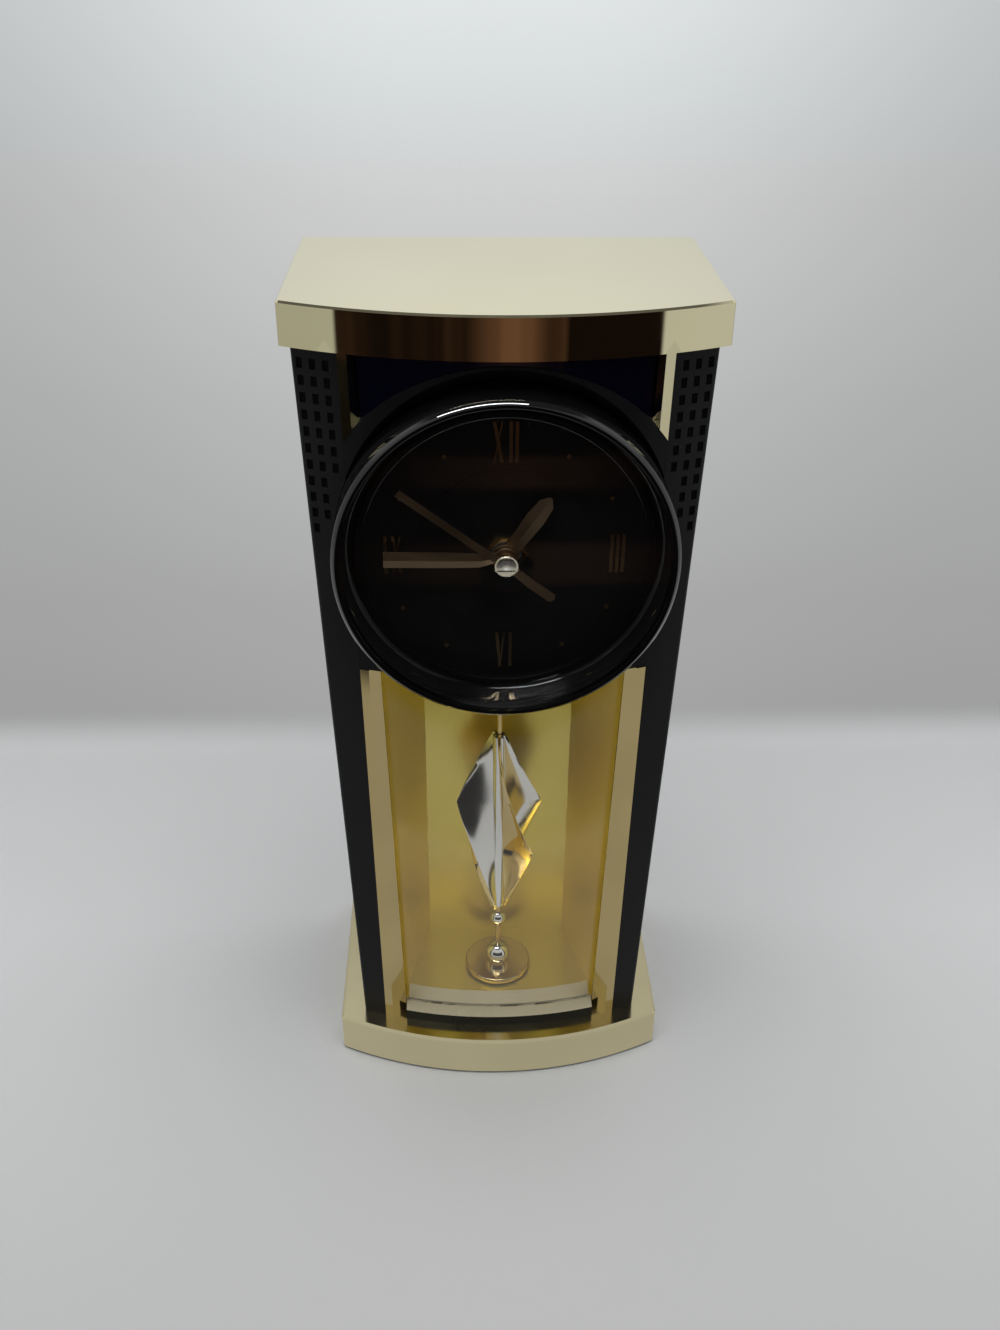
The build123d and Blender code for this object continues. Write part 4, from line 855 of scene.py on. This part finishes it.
def warm_glow(tree, way, bearing):
    """Share of the warm light in the front opening, which the cap's front band mirrors."""
    marks = noise_along(tree, bearing, streak_scale)
    streaks = remap(tree, marks, *streak_contrast, 0.0, streak_share)
    off_middle = size_of(tree, math_node(tree, "SUBTRACT", bearing, glow_bearing))
    middle = remap(tree, off_middle, *glow_half_width, 1.0, 0.0, smooth=True)
    share = math_node(tree, "ADD", streaks, times(tree, middle, glow_share), clamp=True)
    edges = (
        remap(tree, bearing, *glow_right_edge, 1.0, 0.0),
        remap(tree, bearing, *glow_left_edge, left_of_glow, 1.0),
        remap(tree, way["Z"], *glow_foot),
        remap(tree, way["Z"], *glow_top, 1.0, 0.0),
    )
    for edge in edges:
        share = times(tree, share, edge)
    return share


def room_in_gloss(tree, way):
    """What polished pieces mirror: a dark opening in front, pale side walls, a roof above."""
    bearing = math_node(tree, "ARCTAN2", way["X"], times(tree, way["Y"], -1.0))
    opening = blend_colours(tree, warm_glow(tree, way, bearing), opening_dark, opening_warm)
    sides = blend_colours(tree, remap(tree, bearing, *left_to_right), left_wall, right_wall)
    aside = remap(tree, size_of(tree, bearing), *opening_edge, smooth=True)
    walls = blend_colours(tree, aside, opening, sides)
    overhead = remap(tree, way["Z"], *overhead_height, smooth=True)
    ahead = remap(tree, way["Y"], *roof_front_depth, roof_front_share, 0.0)
    roof = blend_colours(tree, larger(tree, overhead, ahead), roof_bright, roof_dark)
    above = remap(tree, way["Z"], *roof_height, smooth=True)
    return blend_colours(tree, above, walls, roof)


def light_the_room():
    """A pale room for the eye and for soft light, and another one for reflections."""
    world = bpy.data.worlds.new("studio_room")
    bpy.context.scene.world = world
    world.use_nodes = True
    tree = world.node_tree
    tree.nodes.clear()
    way = parts_of(tree, add(tree, "ShaderNodeTexCoord").outputs["Generated"])
    path = add(tree, "ShaderNodeLightPath").outputs
    gloss = room_in_gloss(tree, way)
    colour = blend_colours(tree, mirrored(tree, path), room_in_soft_light, gloss)
    colour = blend_colours(tree, path["Is Camera Ray"], colour, room_to_the_eye)
    glow = add(tree, "ShaderNodeBackground")
    tree.links.new(colour, glow.inputs["Color"])
    tree.links.new(glow.outputs[0], add(tree, "ShaderNodeOutputWorld").inputs["Surface"])


light_the_room()
